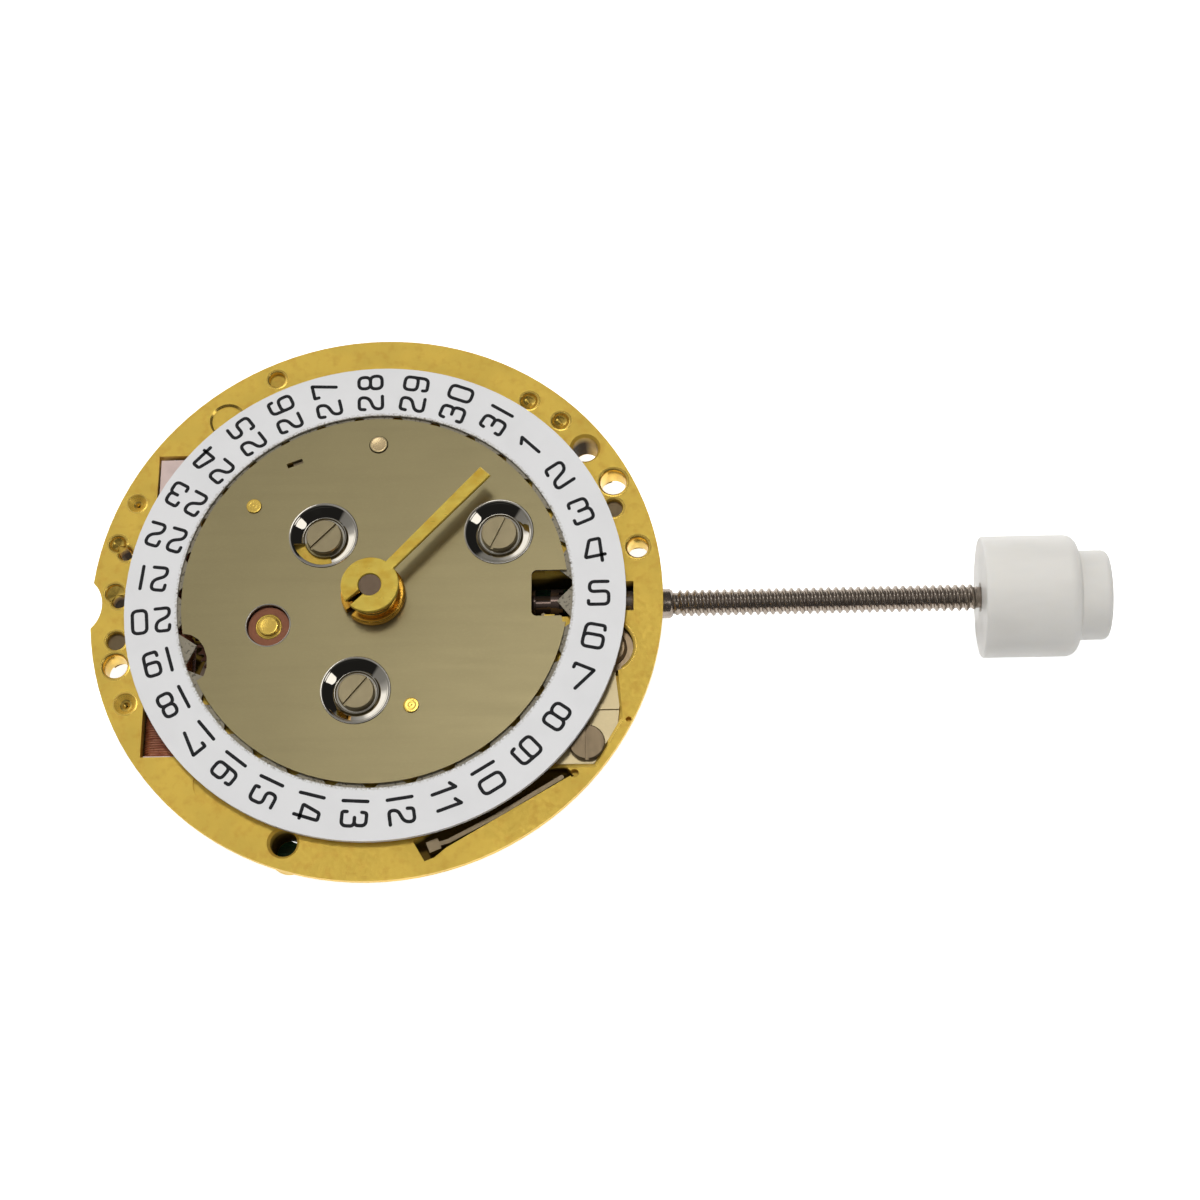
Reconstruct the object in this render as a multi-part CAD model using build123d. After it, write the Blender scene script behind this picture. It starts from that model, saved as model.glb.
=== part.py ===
from build123d import *
from math import asin, atan2, cos, degrees, hypot, pi, radians, sin
import os

# Quartz watch movement with a date disc. Millimetres, +Z towards the dial, +X along the stem.
# The origin is on the centre axis at the top face of the main plate's rim.

# Overall sizes. Sizes in plan are shares of the movement's radius, so the layout grows with it.
movement_radius = 13.0
rim_step = 0.2
body_radius = movement_radius - rim_step
lower_body_radius = movement_radius * 0.9577
body_step_z = -0.9
rim_thickness = 0.35
plate_depth = 2.05
overrun = 0.5
running_gap = 0.02
seat_gap = 0.01
side_gap = 0.1

# Date disc and calendar plate
disc_outer_radius = movement_radius * 0.8731
disc_inner_radius = movement_radius * 0.6885
disc_low = 0.24
disc_thickness = 0.25
disc_tooth_tip_radius = movement_radius * 0.6346
disc_tooth_thickness = 0.10
disc_teeth = 31
disc_tooth_phase = -2.4
disc_tooth_side_shares = [0.42, 0.58]
ledge_radius = movement_radius * 0.7538
ledge_width = movement_radius * 0.0385
ledge_gap = 0.04
guide_width = movement_radius * 0.0346
guide_gap = 0.06
guide_height = 0.34
calendar_radius = movement_radius * 0.6731
calendar_top = 0.52
calendar_sheet = 0.12
calendar_hole_radius = movement_radius * 0.0615
dish_radius = movement_radius * 0.1154
dish_seat_radius = movement_radius * 0.0692
dish_hole_radius = movement_radius * 0.0269
dish_place_shares = [(-0.1846, 0.2308), (0.4308, 0.2308), (-0.0538, -0.3423)]
dish_slot_angles = [45, 65, 50]
dish_gap_place = 0
dish_gap_angles = [195, 240, 288]
axle_window_radius = movement_radius * 0.0754
calendar_post_radius = movement_radius * 0.0262
calendar_post_rise = 0.07
calendar_post_edge = 0.05
calendar_post_shares = [(-0.4346, 0.3462), (0.1385, -0.4)]
slot_length = movement_radius * 0.0577
slot_width = movement_radius * 0.0185
slot_angle = 20
slot_place_share = (-0.2962, 0.5077)
right_notch_shares = [
    (0.546, 0.084), (0.7, 0.084), (0.7, -0.108), (0.654, -0.108), (0.65, -0.085), (0.546, -0.085),
]
right_notch_corner = movement_radius * 0.0192
left_notch_shares = [
    (-0.7, -0.125), (-0.66, -0.125), (-0.632, -0.13), (-0.605, -0.147), (-0.585, -0.175),
    (-0.573, -0.21), (-0.571, -0.25), (-0.58, -0.28), (-0.6, -0.296), (-0.7, -0.296),
]

# Screws
plate_screw_head_radius = movement_radius * 0.0631
plate_screw_head_height = 0.28
plate_screw_shank_radius = movement_radius * 0.0231
plate_screw_reach = 0.55
bridge_screw_head_radius = movement_radius * 0.0615
bridge_screw_head_height = 0.3
bridge_screw_shank_radius = movement_radius * 0.0246
bridge_screw_reach = 0.9
screw_slot_width = 0.16
screw_slot_depth = 0.12
screw_edge = 0.05
bridge_screw_angles = [20, 70, 120]
board_screw_angles = [0, 35, 70]
stator_screw_angles = [70, 30]
clamp_screw_angle = 15
jumper_screw_angle = 90
jumper_screw_reach = 0.5
keeper_slot_angle = 30

# Hands and motion work
arbor_radius = movement_radius * 0.0169
cannon_outer_radius = movement_radius * 0.0385
cannon_low = -0.32
cannon_recess = 0.06
cannon_bore_high = 1.5
cannon_teeth = 12
cannon_teeth_low = -0.28
cannon_teeth_high = -0.04
minute_wheel_teeth = 36
minute_pinion_teeth = 10
hour_wheel_teeth = 40
hour_drive_teeth = 30
date_wheel_teeth = 60
setting_wheel_teeth = 16
motion_distance = movement_radius * 0.2
date_distance = movement_radius * 0.3788
motion_wheel_thickness = 0.08
hour_drive_low = 0.03
hour_wheel_low = 0.14
hour_wheel_thickness = 0.07
hour_pipe_wall = movement_radius * 0.0123
hour_pipe_high = 0.95
minute_wheel_low = -0.22
minute_wheel_thickness = 0.1
minute_pinion_high = 0.3
minute_stud_radius = movement_radius * 0.0154
minute_wheel_angle = -15
setting_wheel_angle = -8
setting_wheel_low = -0.6
setting_wheel_high = -0.1
well_gap = 0.12
well_floor_gap = 0.04
date_wheel_angle = 195.3
date_hub_radius = movement_radius * 0.0462
date_hub_high = 0.24
date_stud_radius = movement_radius * 0.0192
date_stud_head_radius = movement_radius * 0.0346
date_stud_head_height = 0.14
finger_reach = movement_radius * 0.2692
finger_ring_radius = movement_radius * 0.0708
finger_thickness = 0.06
finger_root_width = movement_radius * 0.0538
finger_tip_width = movement_radius * 0.0215
finger_angle = 100
stud_depth = 0.4
date_stud_low = -0.36

# Hand
hand_thickness = 0.16
hand_top = 2.0
hand_hub_radius = movement_radius * 0.1
hand_reach = movement_radius * 0.5692
hand_root_width = movement_radius * 0.0385
hand_tip_width = movement_radius * 0.0485
hand_angle = 46.6
hand_slit_width = movement_radius * 0.02
hand_slit_angle = 222
collet_low = 0.55
collet_foot_radius = movement_radius * 0.1115
collet_foot_height = 0.45
collet_neck_radius = movement_radius * 0.0785
collet_neck_height = 0.4

# Going train
train_ceiling = -0.95
train_wheel_thickness = 0.12
train_arbor_radius = movement_radius * 0.01
train_pivot_radius = movement_radius * 0.0054
train_pivot_length = 0.2
bridge_thickness = 0.35
bridge_counterbore = 0.1167
full_height_share = 0.99
jewel_radius = movement_radius * 0.0323
jewel_thickness = 0.25
pivot_gap = 0.02
centre_module = movement_radius * 0.00615
third_module = movement_radius * 0.00615
fourth_module = movement_radius * 0.00846
fifth_module = movement_radius * 0.00577
centre_wheel_teeth = 64
third_pinion_teeth = 8
third_wheel_teeth = 60
fourth_pinion_teeth = 8
fourth_wheel_teeth = 30
fifth_pinion_teeth = 8
fifth_wheel_teeth = 48
rotor_pinion_teeth = 6
third_angle = 250
fourth_angle = 195
fifth_angle = 165.1
rotor_angle = 112.3
centre_wheel_low = -1.18
third_pinion_low = -1.25
third_wheel_low = -1.42
fourth_pinion_low = -1.52
fourth_wheel_low = -1.74
fifth_pinion_low = -1.84
fifth_pinion_height = 0.34
fifth_wheel_low = -1.16
rotor_pinion_low = -1.26
rotor_pinion_height = 0.34
train_pinion_height = 0.28
pocket_gap = 0.15
spoke_windows = 4
spoke_rim_share = 0.76
spoke_window_share = 0.24
spoke_middle_share = 0.68
centre_window_share = 0.2
centre_window_middle_share = 0.52
centre_bush_radius = movement_radius * 0.0462

# Motor
rotor_radius = movement_radius * 0.0538
rotor_height = 0.4
stator_hole_radius = movement_radius * 0.0769
stator_thickness = 0.38
stator_ring_radius = movement_radius * 0.1154
stator_arm_width = movement_radius * 0.1
stator_tab_width = movement_radius * 0.0692
magnet_ceiling = -0.4
stator_gap = 0.02
coil_x = movement_radius * -0.7154
stator_arm_x = movement_radius * -0.5769
stator_tab_y = movement_radius * 0.5962
stator_arbor_hole_radius = movement_radius * 0.025
core_width = movement_radius * 0.0692
core_thickness = 0.45
core_half_length = movement_radius * 0.6308
bobbin_width = movement_radius * 0.1431
bobbin_height = 1.7
bobbin_wall = 0.1
bobbin_top = -0.16
terminal_high = movement_radius * 0.5538
terminal_low = movement_radius * 0.4
flange_low = movement_radius * -0.5538
flange_thickness = movement_radius * 0.0077
flange_top = -0.3
winding_inset = 0.08
winding_corner = 0.3
coil_window_left = movement_radius * 0.7923
coil_window_width = movement_radius * 0.1577
coil_window_high = movement_radius * 0.5646
coil_window_low = movement_radius * 0.5569
stator_screw_head_radius = movement_radius * 0.0323
stator_screw_shank_radius = movement_radius * 0.0154
stator_screw_head_height = 0.2
stator_screw_reach = 0.2

# Battery
battery_radius = movement_radius * 0.3654
battery_height = 2.05
battery_rim = 0.35
battery_cap_height = 1.55
battery_top = -0.5
battery_distance = movement_radius * 0.5808
battery_angle = 82.2
battery_gap = 0.06
insulator_thickness = 0.05
insulator_width = movement_radius * 0.0769
contact_width = movement_radius * 0.1077
contact_reach_share = 0.8
contact_thickness = 0.07
battery_ceiling = -0.36
clamp_thickness = 0.1
clamp_width = movement_radius * 0.1462
clamp_foot_length = movement_radius * 0.1538
clamp_place_share = (0.5923, 0.2923)
clamp_step_share = 0.55
clamp_tip_share = 0.25

# Electronics
board_thickness = 0.15
board_radius = movement_radius * 0.9462
board_edge_shares = [
    (0.354, 0.131), (1.0, 0.131), (1.0, -1.0), (-0.56, -1.0), (-0.56, -0.66), (-0.415, -0.592),
    (-0.262, -0.585), (-0.031, -0.438), (0.177, -0.362), (0.331, -0.338), (0.346, -0.185), (0.262, -0.031),
]
board_screw_shares = [(0.8385, -0.2615), (0.2769, -0.8154), (-0.4308, -0.7231)]
chip_size = movement_radius * 0.1846
chip_height = 0.34
chip_place_share = (0.5, -0.43)
crystal_radius = 0.75
crystal_length = movement_radius * 0.3846
crystal_place_share = (-0.05, -0.66)
crystal_lead_radius = 0.12
crystal_lead_length = movement_radius * 0.0692
crystal_lead_spread = 0.3
crystal_drop = 1.25

# Stem and setting work
stem_z = -1.2
stem_radius = 0.675
stem_thread_radius = 0.61
stem_pilot_radius = 0.2
stem_pilot_start = movement_radius * 0.4308
stem_square_start = movement_radius * 0.4923
stem_square_end = movement_radius * 0.7192
stem_square_half = 0.25
stem_groove_start = movement_radius * 0.74
stem_groove_width = movement_radius * 0.0354
stem_groove_radius = 0.3
stem_shoulder = 0.4
stem_thread_start = movement_radius + stem_shoulder
stem_thread_pitch = 0.336
stem_thread_depth = 0.135
stem_thread_turns = 41
stem_bore_gap = 0.04
thread_root_share = 0.38
pull = 1.0
stem_run_out = 0.124
stem_in_crown = 3.3
crown_start = stem_thread_start + stem_thread_turns * stem_thread_pitch + stem_run_out
stem_end_x = crown_start + stem_in_crown
crown_radius = 2.75
crown_length = 4.3
crown_boss_radius = 2.025
crown_boss_length = 1.4
crown_edge = 0.6
pinion_radius = 0.75
pinion_start = movement_radius * 0.5192
pinion_tooth_length = movement_radius * 0.0346
pinion_groove_length = movement_radius * 0.0538
pinion_groove_radius = 0.45
pinion_ratchet_length = movement_radius * 0.0423
pinion_hole_half = 0.28
pinion_teeth = 14
pinion_tooth_depth = 0.18
chamber_start = movement_radius * 0.4846
chamber_end = movement_radius * 0.8231
chamber_low_y = -0.98
chamber_high_y = 1.1
slit_end = movement_radius * 0.8977
slit_low_y = -0.73
slit_high_y = 0.67
lever_thickness = 0.2
lever_top = -0.36
lever_pivot_share = (0.7962, -0.2615)
lever_pivot_radius = movement_radius * 0.0385
lever_boss_share = (0.8077, -0.1846)
lever_boss_radius = movement_radius * 0.0869
lever_nib_gap = 0.12
lever_nib_radius = movement_radius * 0.0115
lever_cap_radius = movement_radius * 0.0654
lever_cap_top = -0.14
lever_cap_edge = 0.12
lever_arm_radius = movement_radius * 0.0277
lever_stud_radius = movement_radius * 0.0192
lever_window_radius = movement_radius * 0.0962
lever_nib_low = -1.0
yoke_top = -0.74
yoke_thickness = 0.16
yoke_pivot_share = (0.65, -0.3538)
yoke_pivot_radius = movement_radius * 0.0385
yoke_fork_x = movement_radius * 0.5815
yoke_fork_gap = 0.17
yoke_arm_width = movement_radius * 0.0462
yoke_tip_width = movement_radius * 0.0154
yoke_stud_radius = movement_radius * 0.0154
cavity_floor = -1.0
jumper_thickness = 0.16
jumper_floor = -0.33
jumper_edge_shares = [
    (0.705, -0.262), (0.832, -0.277), (0.846, -0.4), (0.84, -0.46), (0.775, -0.58),
    (0.757, -0.602), (0.63, -0.602), (0.6, -0.5), (0.66, -0.4),
]
jumper_recess_shares = [
    (0.69, -0.245), (0.842, -0.268), (0.858, -0.45), (0.777, -0.59), (0.765, -0.615),
    (0.615, -0.615), (0.57, -0.48), (0.64, -0.37),
]
jumper_step_height = 0.1
jumper_step_low_y = movement_radius * -0.4115
jumper_step_high_y = movement_radius * -0.3923
jumper_screw_share = (0.7354, -0.5308)
spring_slot_shares = [
    (0.151, -0.867), (0.1915, -0.9354), (0.2246, -0.9223), (0.2646, -0.8885),
    (0.69, -0.64), (0.66, -0.61), (0.6, -0.61),
]
spring_path_shares = [(0.22, -0.8785), (0.2692, -0.8646), (0.4231, -0.7838), (0.6492, -0.6485)]
spring_width = movement_radius * 0.0146
spring_floor = -0.75
spring_top = -0.12
spring_foot_length = movement_radius * 0.0423
spring_foot_width = movement_radius * 0.0385
spring_foot_angle = 22
yoke_room_turns = [-5, 0, 5]
lever_room_shares = [0, 0.5, 1]

# Date jumper
jumper_post_share = (0, 0.5731)
jumper_post_radius = movement_radius * 0.0308
date_jumper_radius = movement_radius * 0.5615
date_jumper_width = movement_radius * 0.0169
date_jumper_end_angle = 119.54
date_jumper_tip_radius = movement_radius * 0.6708
date_jumper_beak_width = movement_radius * 0.0692
date_jumper_beak_turn = 2
jumper_eye_radius = movement_radius * 0.0554
jumper_room_turns = [6, -15]
jumper_room_start_angle = 84

# Holes in the rim, as shares of the movement's radius: x, y and radius, then an inner radius
through_hole_shares = [
    (-0.8895, 0.1937, 0.0246), (-0.9024, 0.0157, 0.0246), (-0.9001, -0.2246, 0.0423),
    (0.83, 0.4279, 0.0462), (0.9138, 0.1792, 0.0369),
]
relief_high = -0.68
relief_widen = 0.25
blind_hole_shares = [
    (-0.3823, 0.8592, 0.0285), (0.5309, 0.7506, 0.0285), (0.6436, 0.6691, 0.0285),
    (-0.9205, 0.2309, 0.0277), (-0.9186, 0.046, 0.0308),
]
pin_hole_shares = [(0.6923, -0.6385, 0.0154), (0.877, -0.4508, 0.01)]
countersink_shares = [(-0.8613, 0.3841, 0.033, 0.0131), (-0.8559, -0.3637, 0.0385, 0.0185)]
countersink_depth = 0.25
countersink_hole_depth = 0.8
shallow_recess_shares = [(-0.5538, 0.7, 0.065), (-0.5192, -0.65, 0.085)]
blind_hole_depth = 0.3
shallow_depth = 0.08
mouth_bevel = 0.09
dial_foot_shares = [(-0.287, -0.8635), (0.7302, 0.5593)]
dial_foot_mouth_radius = movement_radius * 0.0554
dial_foot_mouth_depth = 0.15
dial_foot_lug = movement_radius * 0.0269
dial_foot_radius = movement_radius * 0.0462
keeper_radius = movement_radius * 0.0423
keeper_height = 0.25
keeper_offset_share = 0.11
rim_pin_shares = [(-0.9029, -0.1327), (0.8294, 0.3286)]
rim_pin_radius = movement_radius * 0.0315
rim_pin_top = -0.26
rim_pin_low = -0.6
rim_notch_radius = movement_radius * 0.1208
rim_notch_x = movement_radius * -1.0823

os.makedirs("parts", exist_ok=True)


def share_place(pair):
    return (pair[0] * movement_radius, pair[1] * movement_radius)


def share_outline(pairs):
    return [share_place(pair) for pair in pairs]


def away(start, angle, distance):
    return (
        start[0] + distance * cos(radians(angle)),
        start[1] + distance * sin(radians(angle)),
    )


def disc(radius, low, high, at=(0, 0)):
    return Pos(at[0], at[1], (low + high) / 2) * Cylinder(radius, high - low)


def ring(outer, inner, low, high, at=(0, 0)):
    return disc(outer, low, high, at) - disc(inner, low - overrun, high + overrun, at)


def block(x_low, x_high, y_low, y_high, low, high):
    middle = Pos((x_low + x_high) / 2, (y_low + y_high) / 2, (low + high) / 2)
    return middle * Box(x_high - x_low, y_high - y_low, high - low)


def prism(points, low, high):
    face = make_face(Polyline(*points, close=True))
    return Pos(0, 0, low) * extrude(face, amount=high - low, dir=(0, 0, 1))


def rod(radius, x_low, x_high, y=0, z=stem_z):
    return Pos((x_low + x_high) / 2, y, z) * Rot(0, 90, 0) * Cylinder(radius, x_high - x_low)


def strip(start, end, width, low, high):
    """A flat bar with round ends between two points."""
    angle = degrees(atan2(end[1] - start[1], end[0] - start[0]))
    length = hypot(end[0] - start[0], end[1] - start[1])
    bar = Pos(start[0], start[1], 0) * Rot(0, 0, angle) * block(0, length, -width / 2, width / 2, low, high)
    return bar + disc(width / 2, low, high, start) + disc(width / 2, low, high, end)


def turned(profile):
    """A body of revolution about +Z from radius and height pairs."""
    points = [(r, 0, z) for r, z in profile]
    return revolve(make_face(Polyline(*points, close=True)), Axis.Z)


def bevelled_mouth(radius, at, widen, depth):
    """A cone that widens a hole of this radius up to the rim's top face."""
    profile = [(0, -depth), (radius, -depth), (radius + widen, 0), (radius + widen, overrun), (0, overrun)]
    return Pos(at[0], at[1], 0) * turned(profile)


# Gear teeth: shares of the module and of the tooth pitch
tip_share = 0.9
root_share = 1.15
tip_width_share = 0.2
root_width_share = 0.6


def gear(teeth, module, low, high, at, phase):
    """A spur gear whose first tooth points at the phase angle, in degrees."""
    middle = teeth * module / 2
    pitch = 360 / teeth
    points = []
    for tooth in range(teeth):
        for radius, side_share in (
            (middle - root_share * module, -root_width_share),
            (middle + tip_share * module, -tip_width_share),
            (middle + tip_share * module, tip_width_share),
            (middle - root_share * module, root_width_share),
        ):
            angle = phase + pitch * (tooth + side_share / 2)
            points.append(away(at, angle, radius))
    return prism(points, low, high)


def meshed_phase(teeth, phase, at, next_teeth, next_at):
    """The phase that sets the next gear's gap over the first gear's tooth."""
    line = degrees(atan2(next_at[1] - at[1], next_at[0] - at[0]))
    offset_share = (phase - line) * teeth / 360
    return line + 180 - (offset_share + 0.5) * 360 / next_teeth


def tip_radius(teeth, module):
    return (teeth / 2 + tip_share) * module


def slotted_head(radius, low, high, at, angle, up=1):
    """A flat screw head with a driver slot on its upper or lower face."""
    head = disc(radius, low, high, at)
    face = high if up > 0 else low
    circles = head.edges().filter_by(GeomType.CIRCLE)
    head = chamfer(circles.filter_by(lambda e: abs(e.center().Z - face) < seat_gap), screw_edge)
    slot = Box(radius * 2 + overrun, screw_slot_width, screw_slot_depth * 2)
    return head - Pos(at[0], at[1], face) * Rot(0, 0, angle) * slot


# Places that follow from the gears
centre = (0, 0)
motion_module_low = motion_distance * 2 / (cannon_teeth + minute_wheel_teeth)
motion_module_high = motion_distance * 2 / (minute_pinion_teeth + hour_wheel_teeth)
date_module = date_distance * 2 / (hour_drive_teeth + date_wheel_teeth)
minute_at = away(centre, minute_wheel_angle, motion_distance)
setting_distance = (minute_wheel_teeth + setting_wheel_teeth) * motion_module_low / 2
setting_at = away(minute_at, setting_wheel_angle, setting_distance)
date_at = away(centre, date_wheel_angle, date_distance)
third_at = away(centre, third_angle, (centre_wheel_teeth + third_pinion_teeth) * centre_module / 2)
fourth_at = away(third_at, fourth_angle, (third_wheel_teeth + fourth_pinion_teeth) * third_module / 2)
fifth_at = away(fourth_at, fifth_angle, (fourth_wheel_teeth + fifth_pinion_teeth) * fourth_module / 2)
rotor_at = away(fifth_at, rotor_angle, (fifth_wheel_teeth + rotor_pinion_teeth) * fifth_module / 2)
battery_at = away(centre, battery_angle, battery_distance)
dish_places = share_outline(dish_place_shares)
plate_bottom = -plate_depth
bridge_low = plate_bottom - bridge_thickness
battery_low = battery_top - battery_height
disc_high = disc_low + disc_thickness
calendar_low = calendar_top - calendar_sheet
hour_pipe_radius = cannon_outer_radius + running_gap * 2
crystal_at = share_place(crystal_place_share)
stator_top = magnet_ceiling - stator_gap
stator_low = stator_top - stator_thickness
core_top = stator_low
core_low = core_top - core_thickness
bobbin_low = bobbin_top - bobbin_height
lever_pivot = share_place(lever_pivot_share)
lever_boss_place = share_place(lever_boss_share)
lever_nib_place = (stem_groove_start + stem_groove_width / 2, -stem_groove_radius - lever_nib_gap)
yoke_pivot = share_place(yoke_pivot_share)
yoke_fork_y = -pinion_groove_radius - yoke_fork_gap
lever_reach = hypot(lever_nib_place[0] - lever_pivot[0], lever_nib_place[1] - lever_pivot[1])
lever_angle = 2 * asin(pull / 2 / lever_reach)


def keeper_place(foot_share):
    """The screw beside a dial foot, a little nearer to the centre."""
    inward = 1 - keeper_offset_share
    return share_place((foot_share[0] * inward, foot_share[1] * inward))


def lever_shape(grow, low, high, turn=0):
    """The outline of the setting lever, grown all round, turned about its pivot."""
    arm = strip(lever_boss_place, lever_nib_place, lever_arm_radius * 2 + grow * 2, low, high)
    shape = arm + disc(lever_boss_radius + grow, low, high, lever_boss_place)
    shape += disc(lever_pivot_radius + grow, low, high, lever_pivot)
    pivot = Pos(lever_pivot[0], lever_pivot[1], 0)
    return pivot * Rot(0, 0, turn) * pivot.inverse() * shape


def yoke_shape(grow, low, high, turn=0):
    """The outline of the yoke, grown all round, turned about its pivot."""
    knee = (yoke_fork_x, yoke_pivot[1] / 2)
    tip = (yoke_fork_x, yoke_fork_y)
    shape = strip(yoke_pivot, knee, yoke_arm_width + grow * 2, low, high)
    shape += strip(knee, tip, yoke_tip_width + grow * 2, low, high)
    shape += disc(yoke_pivot_radius + grow, low, high, yoke_pivot)
    pivot = Pos(yoke_pivot[0], yoke_pivot[1], 0)
    return pivot * Rot(0, 0, turn) * pivot.inverse() * shape


def stator_shape(grow, low, high):
    """Two arms from the coil's ends to a ring round the rotor, grown all round."""
    arm, tab = stator_arm_width + grow * 2, stator_tab_width + grow * 2
    shape = disc(stator_ring_radius + grow, low, high, rotor_at)
    for side in (-1, 1):
        knee = (stator_arm_x, rotor_at[1] + side * stator_ring_radius * 2)
        corner = (stator_arm_x, side * stator_tab_y)
        shape += strip(rotor_at, knee, arm, low, high)
        shape += strip(knee, corner, tab, low, high)
        shape += strip(corner, (coil_x, side * stator_tab_y), tab, low, high)
    return shape


def stator_screw_places():
    return [(coil_x, side * stator_tab_y) for side in (-1, 1)]


def plate_blank():
    """The rim, the body in two steps, and the rings that the date disc runs on."""
    plate = disc(lower_body_radius, plate_bottom, 0) + disc(body_radius, body_step_z, 0)
    plate += disc(movement_radius, -rim_thickness, 0)
    for share in dial_foot_shares:
        lug = disc(dial_foot_radius + dial_foot_lug, plate_bottom, body_step_z, share_place(share))
        plate += lug & disc(body_radius, plate_bottom, body_step_z)
    ledge_high = disc_low - ledge_gap
    half_ledge = ledge_width / 2
    plate += ring(ledge_radius + half_ledge, ledge_radius - half_ledge, -rim_thickness, ledge_high)
    guide_radius = disc_tooth_tip_radius - guide_gap
    plate += ring(guide_radius, guide_radius - guide_width, -rim_thickness, guide_height)
    # room for the date finger and the date jumper in the guide ring
    plate -= disc(finger_reach + side_gap, 0, calendar_top, date_at)
    corners = [(0, 0)]
    for turn in jumper_room_turns:
        corners.append(away(centre, date_jumper_end_angle + turn, movement_radius))
    corners.append(away(centre, jumper_room_start_angle, movement_radius))
    return plate - (prism(corners, 0, calendar_top) & disc(disc_inner_radius, 0, calendar_top))


def cut_dial_side(plate):
    """The wells of the motion work, and the holes of its studs, screws and posts."""
    cannon_tip = tip_radius(cannon_teeth, motion_module_low)
    minute_tip = tip_radius(minute_wheel_teeth, motion_module_low)
    setting_tip = tip_radius(setting_wheel_teeth, motion_module_low)
    plate -= disc(cannon_tip + well_gap, cannon_low - well_floor_gap, overrun)
    plate -= disc(minute_tip + well_gap, minute_wheel_low - well_floor_gap, overrun, minute_at)
    plate -= disc(setting_tip + well_gap, setting_wheel_low - well_floor_gap, overrun, setting_at)
    plate -= disc(centre_bush_radius, train_ceiling - overrun, overrun)
    plate -= disc(minute_stud_radius, -stud_depth - rim_thickness, overrun, minute_at)
    plate -= disc(date_stud_radius, date_stud_low, overrun, date_at)
    plate -= disc(minute_stud_radius, setting_wheel_low - stud_depth, overrun, setting_at)
    for place in dish_places:
        plate -= disc(plate_screw_shank_radius + seat_gap, -plate_screw_reach - side_gap, overrun, place)
    for share in calendar_post_shares:
        plate -= disc(calendar_post_radius, -stud_depth, overrun, share_place(share))
    return plate - disc(jumper_post_radius, -rim_thickness / 2, overrun, share_place(jumper_post_share))


def cut_stem_side(plate):
    """Room for the stem, the sliding pinion, the setting lever, the yoke and their springs."""
    plate -= rod(stem_radius + stem_bore_gap, chamber_end, body_radius + overrun)
    plate -= rod(stem_pilot_radius + stem_bore_gap, stem_pilot_start - side_gap, chamber_start + overrun)
    plate -= block(chamber_start, chamber_end, chamber_low_y, chamber_high_y, plate_bottom - overrun, overrun)
    slit_floor = stem_z - stem_radius - side_gap
    plate -= block(chamber_end, slit_end, slit_low_y, slit_high_y, slit_floor, overrun)
    plate -= disc(lever_window_radius, lever_top, overrun, lever_boss_place)
    lever_floor = lever_top - lever_thickness - well_floor_gap
    for share in lever_room_shares:
        plate -= lever_shape(side_gap, lever_floor, lever_top + well_floor_gap, -degrees(lever_angle) * share)
    plate -= prism(share_outline(jumper_recess_shares), jumper_floor, overrun)
    for turn in yoke_room_turns:
        plate -= yoke_shape(side_gap, cavity_floor, lever_floor + well_floor_gap, turn)
    plate -= disc(lever_stud_radius, lever_floor - stud_depth, overrun, lever_pivot)
    plate -= disc(yoke_stud_radius, cavity_floor - stud_depth, lever_floor, yoke_pivot)
    screw_at = share_place(jumper_screw_share)
    plate -= disc(bridge_screw_shank_radius + seat_gap, -bridge_screw_reach - side_gap, overrun, screw_at)
    return plate - prism(share_outline(spring_slot_shares), spring_floor - well_floor_gap, overrun)


def cut_rim_holes(plate):
    """The holes round the rim, most with a bevelled mouth."""
    for x_share, y_share, radius_share in through_hole_shares:
        radius, at = radius_share * movement_radius, share_place((x_share, y_share))
        plate -= disc(radius, plate_bottom - overrun, overrun, at)
        plate -= disc(radius + relief_widen, plate_bottom - overrun, relief_high, at)
        plate -= bevelled_mouth(radius, at, mouth_bevel, mouth_bevel)
    for x_share, y_share, radius_share in blind_hole_shares:
        radius, at = radius_share * movement_radius, share_place((x_share, y_share))
        plate -= disc(radius, -blind_hole_depth, overrun, at)
        plate -= bevelled_mouth(radius, at, mouth_bevel, mouth_bevel)
    for x_share, y_share, radius_share in pin_hole_shares:
        radius = radius_share * movement_radius
        plate -= disc(radius, -blind_hole_depth, overrun, share_place((x_share, y_share)))
    for x_share, y_share, outer_share, inner_share in countersink_shares:
        inner, at = inner_share * movement_radius, share_place((x_share, y_share))
        plate -= disc(inner, -countersink_hole_depth, overrun, at)
        plate -= bevelled_mouth(inner, at, (outer_share - inner_share) * movement_radius, countersink_depth)
    for x_share, y_share, radius_share in shallow_recess_shares:
        plate -= disc(radius_share * movement_radius, -shallow_depth, overrun, share_place((x_share, y_share)))
    for share in dial_foot_shares:
        at = share_place(share)
        plate -= disc(dial_foot_radius, plate_bottom - overrun, overrun, at)
        widen = dial_foot_mouth_radius - dial_foot_radius
        plate -= bevelled_mouth(dial_foot_radius, at, widen, dial_foot_mouth_depth)
        high = plate_bottom + bridge_screw_reach
        plate -= disc(bridge_screw_shank_radius + seat_gap, plate_bottom - overrun, high, keeper_place(share))
    for share in rim_pin_shares:
        plate -= disc(rim_pin_radius, rim_pin_low, overrun, share_place(share))
        plate -= bevelled_mouth(rim_pin_radius, share_place(share), mouth_bevel, mouth_bevel)
    return plate - disc(rim_notch_radius, plate_bottom - overrun, overrun, (rim_notch_x, 0))


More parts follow.
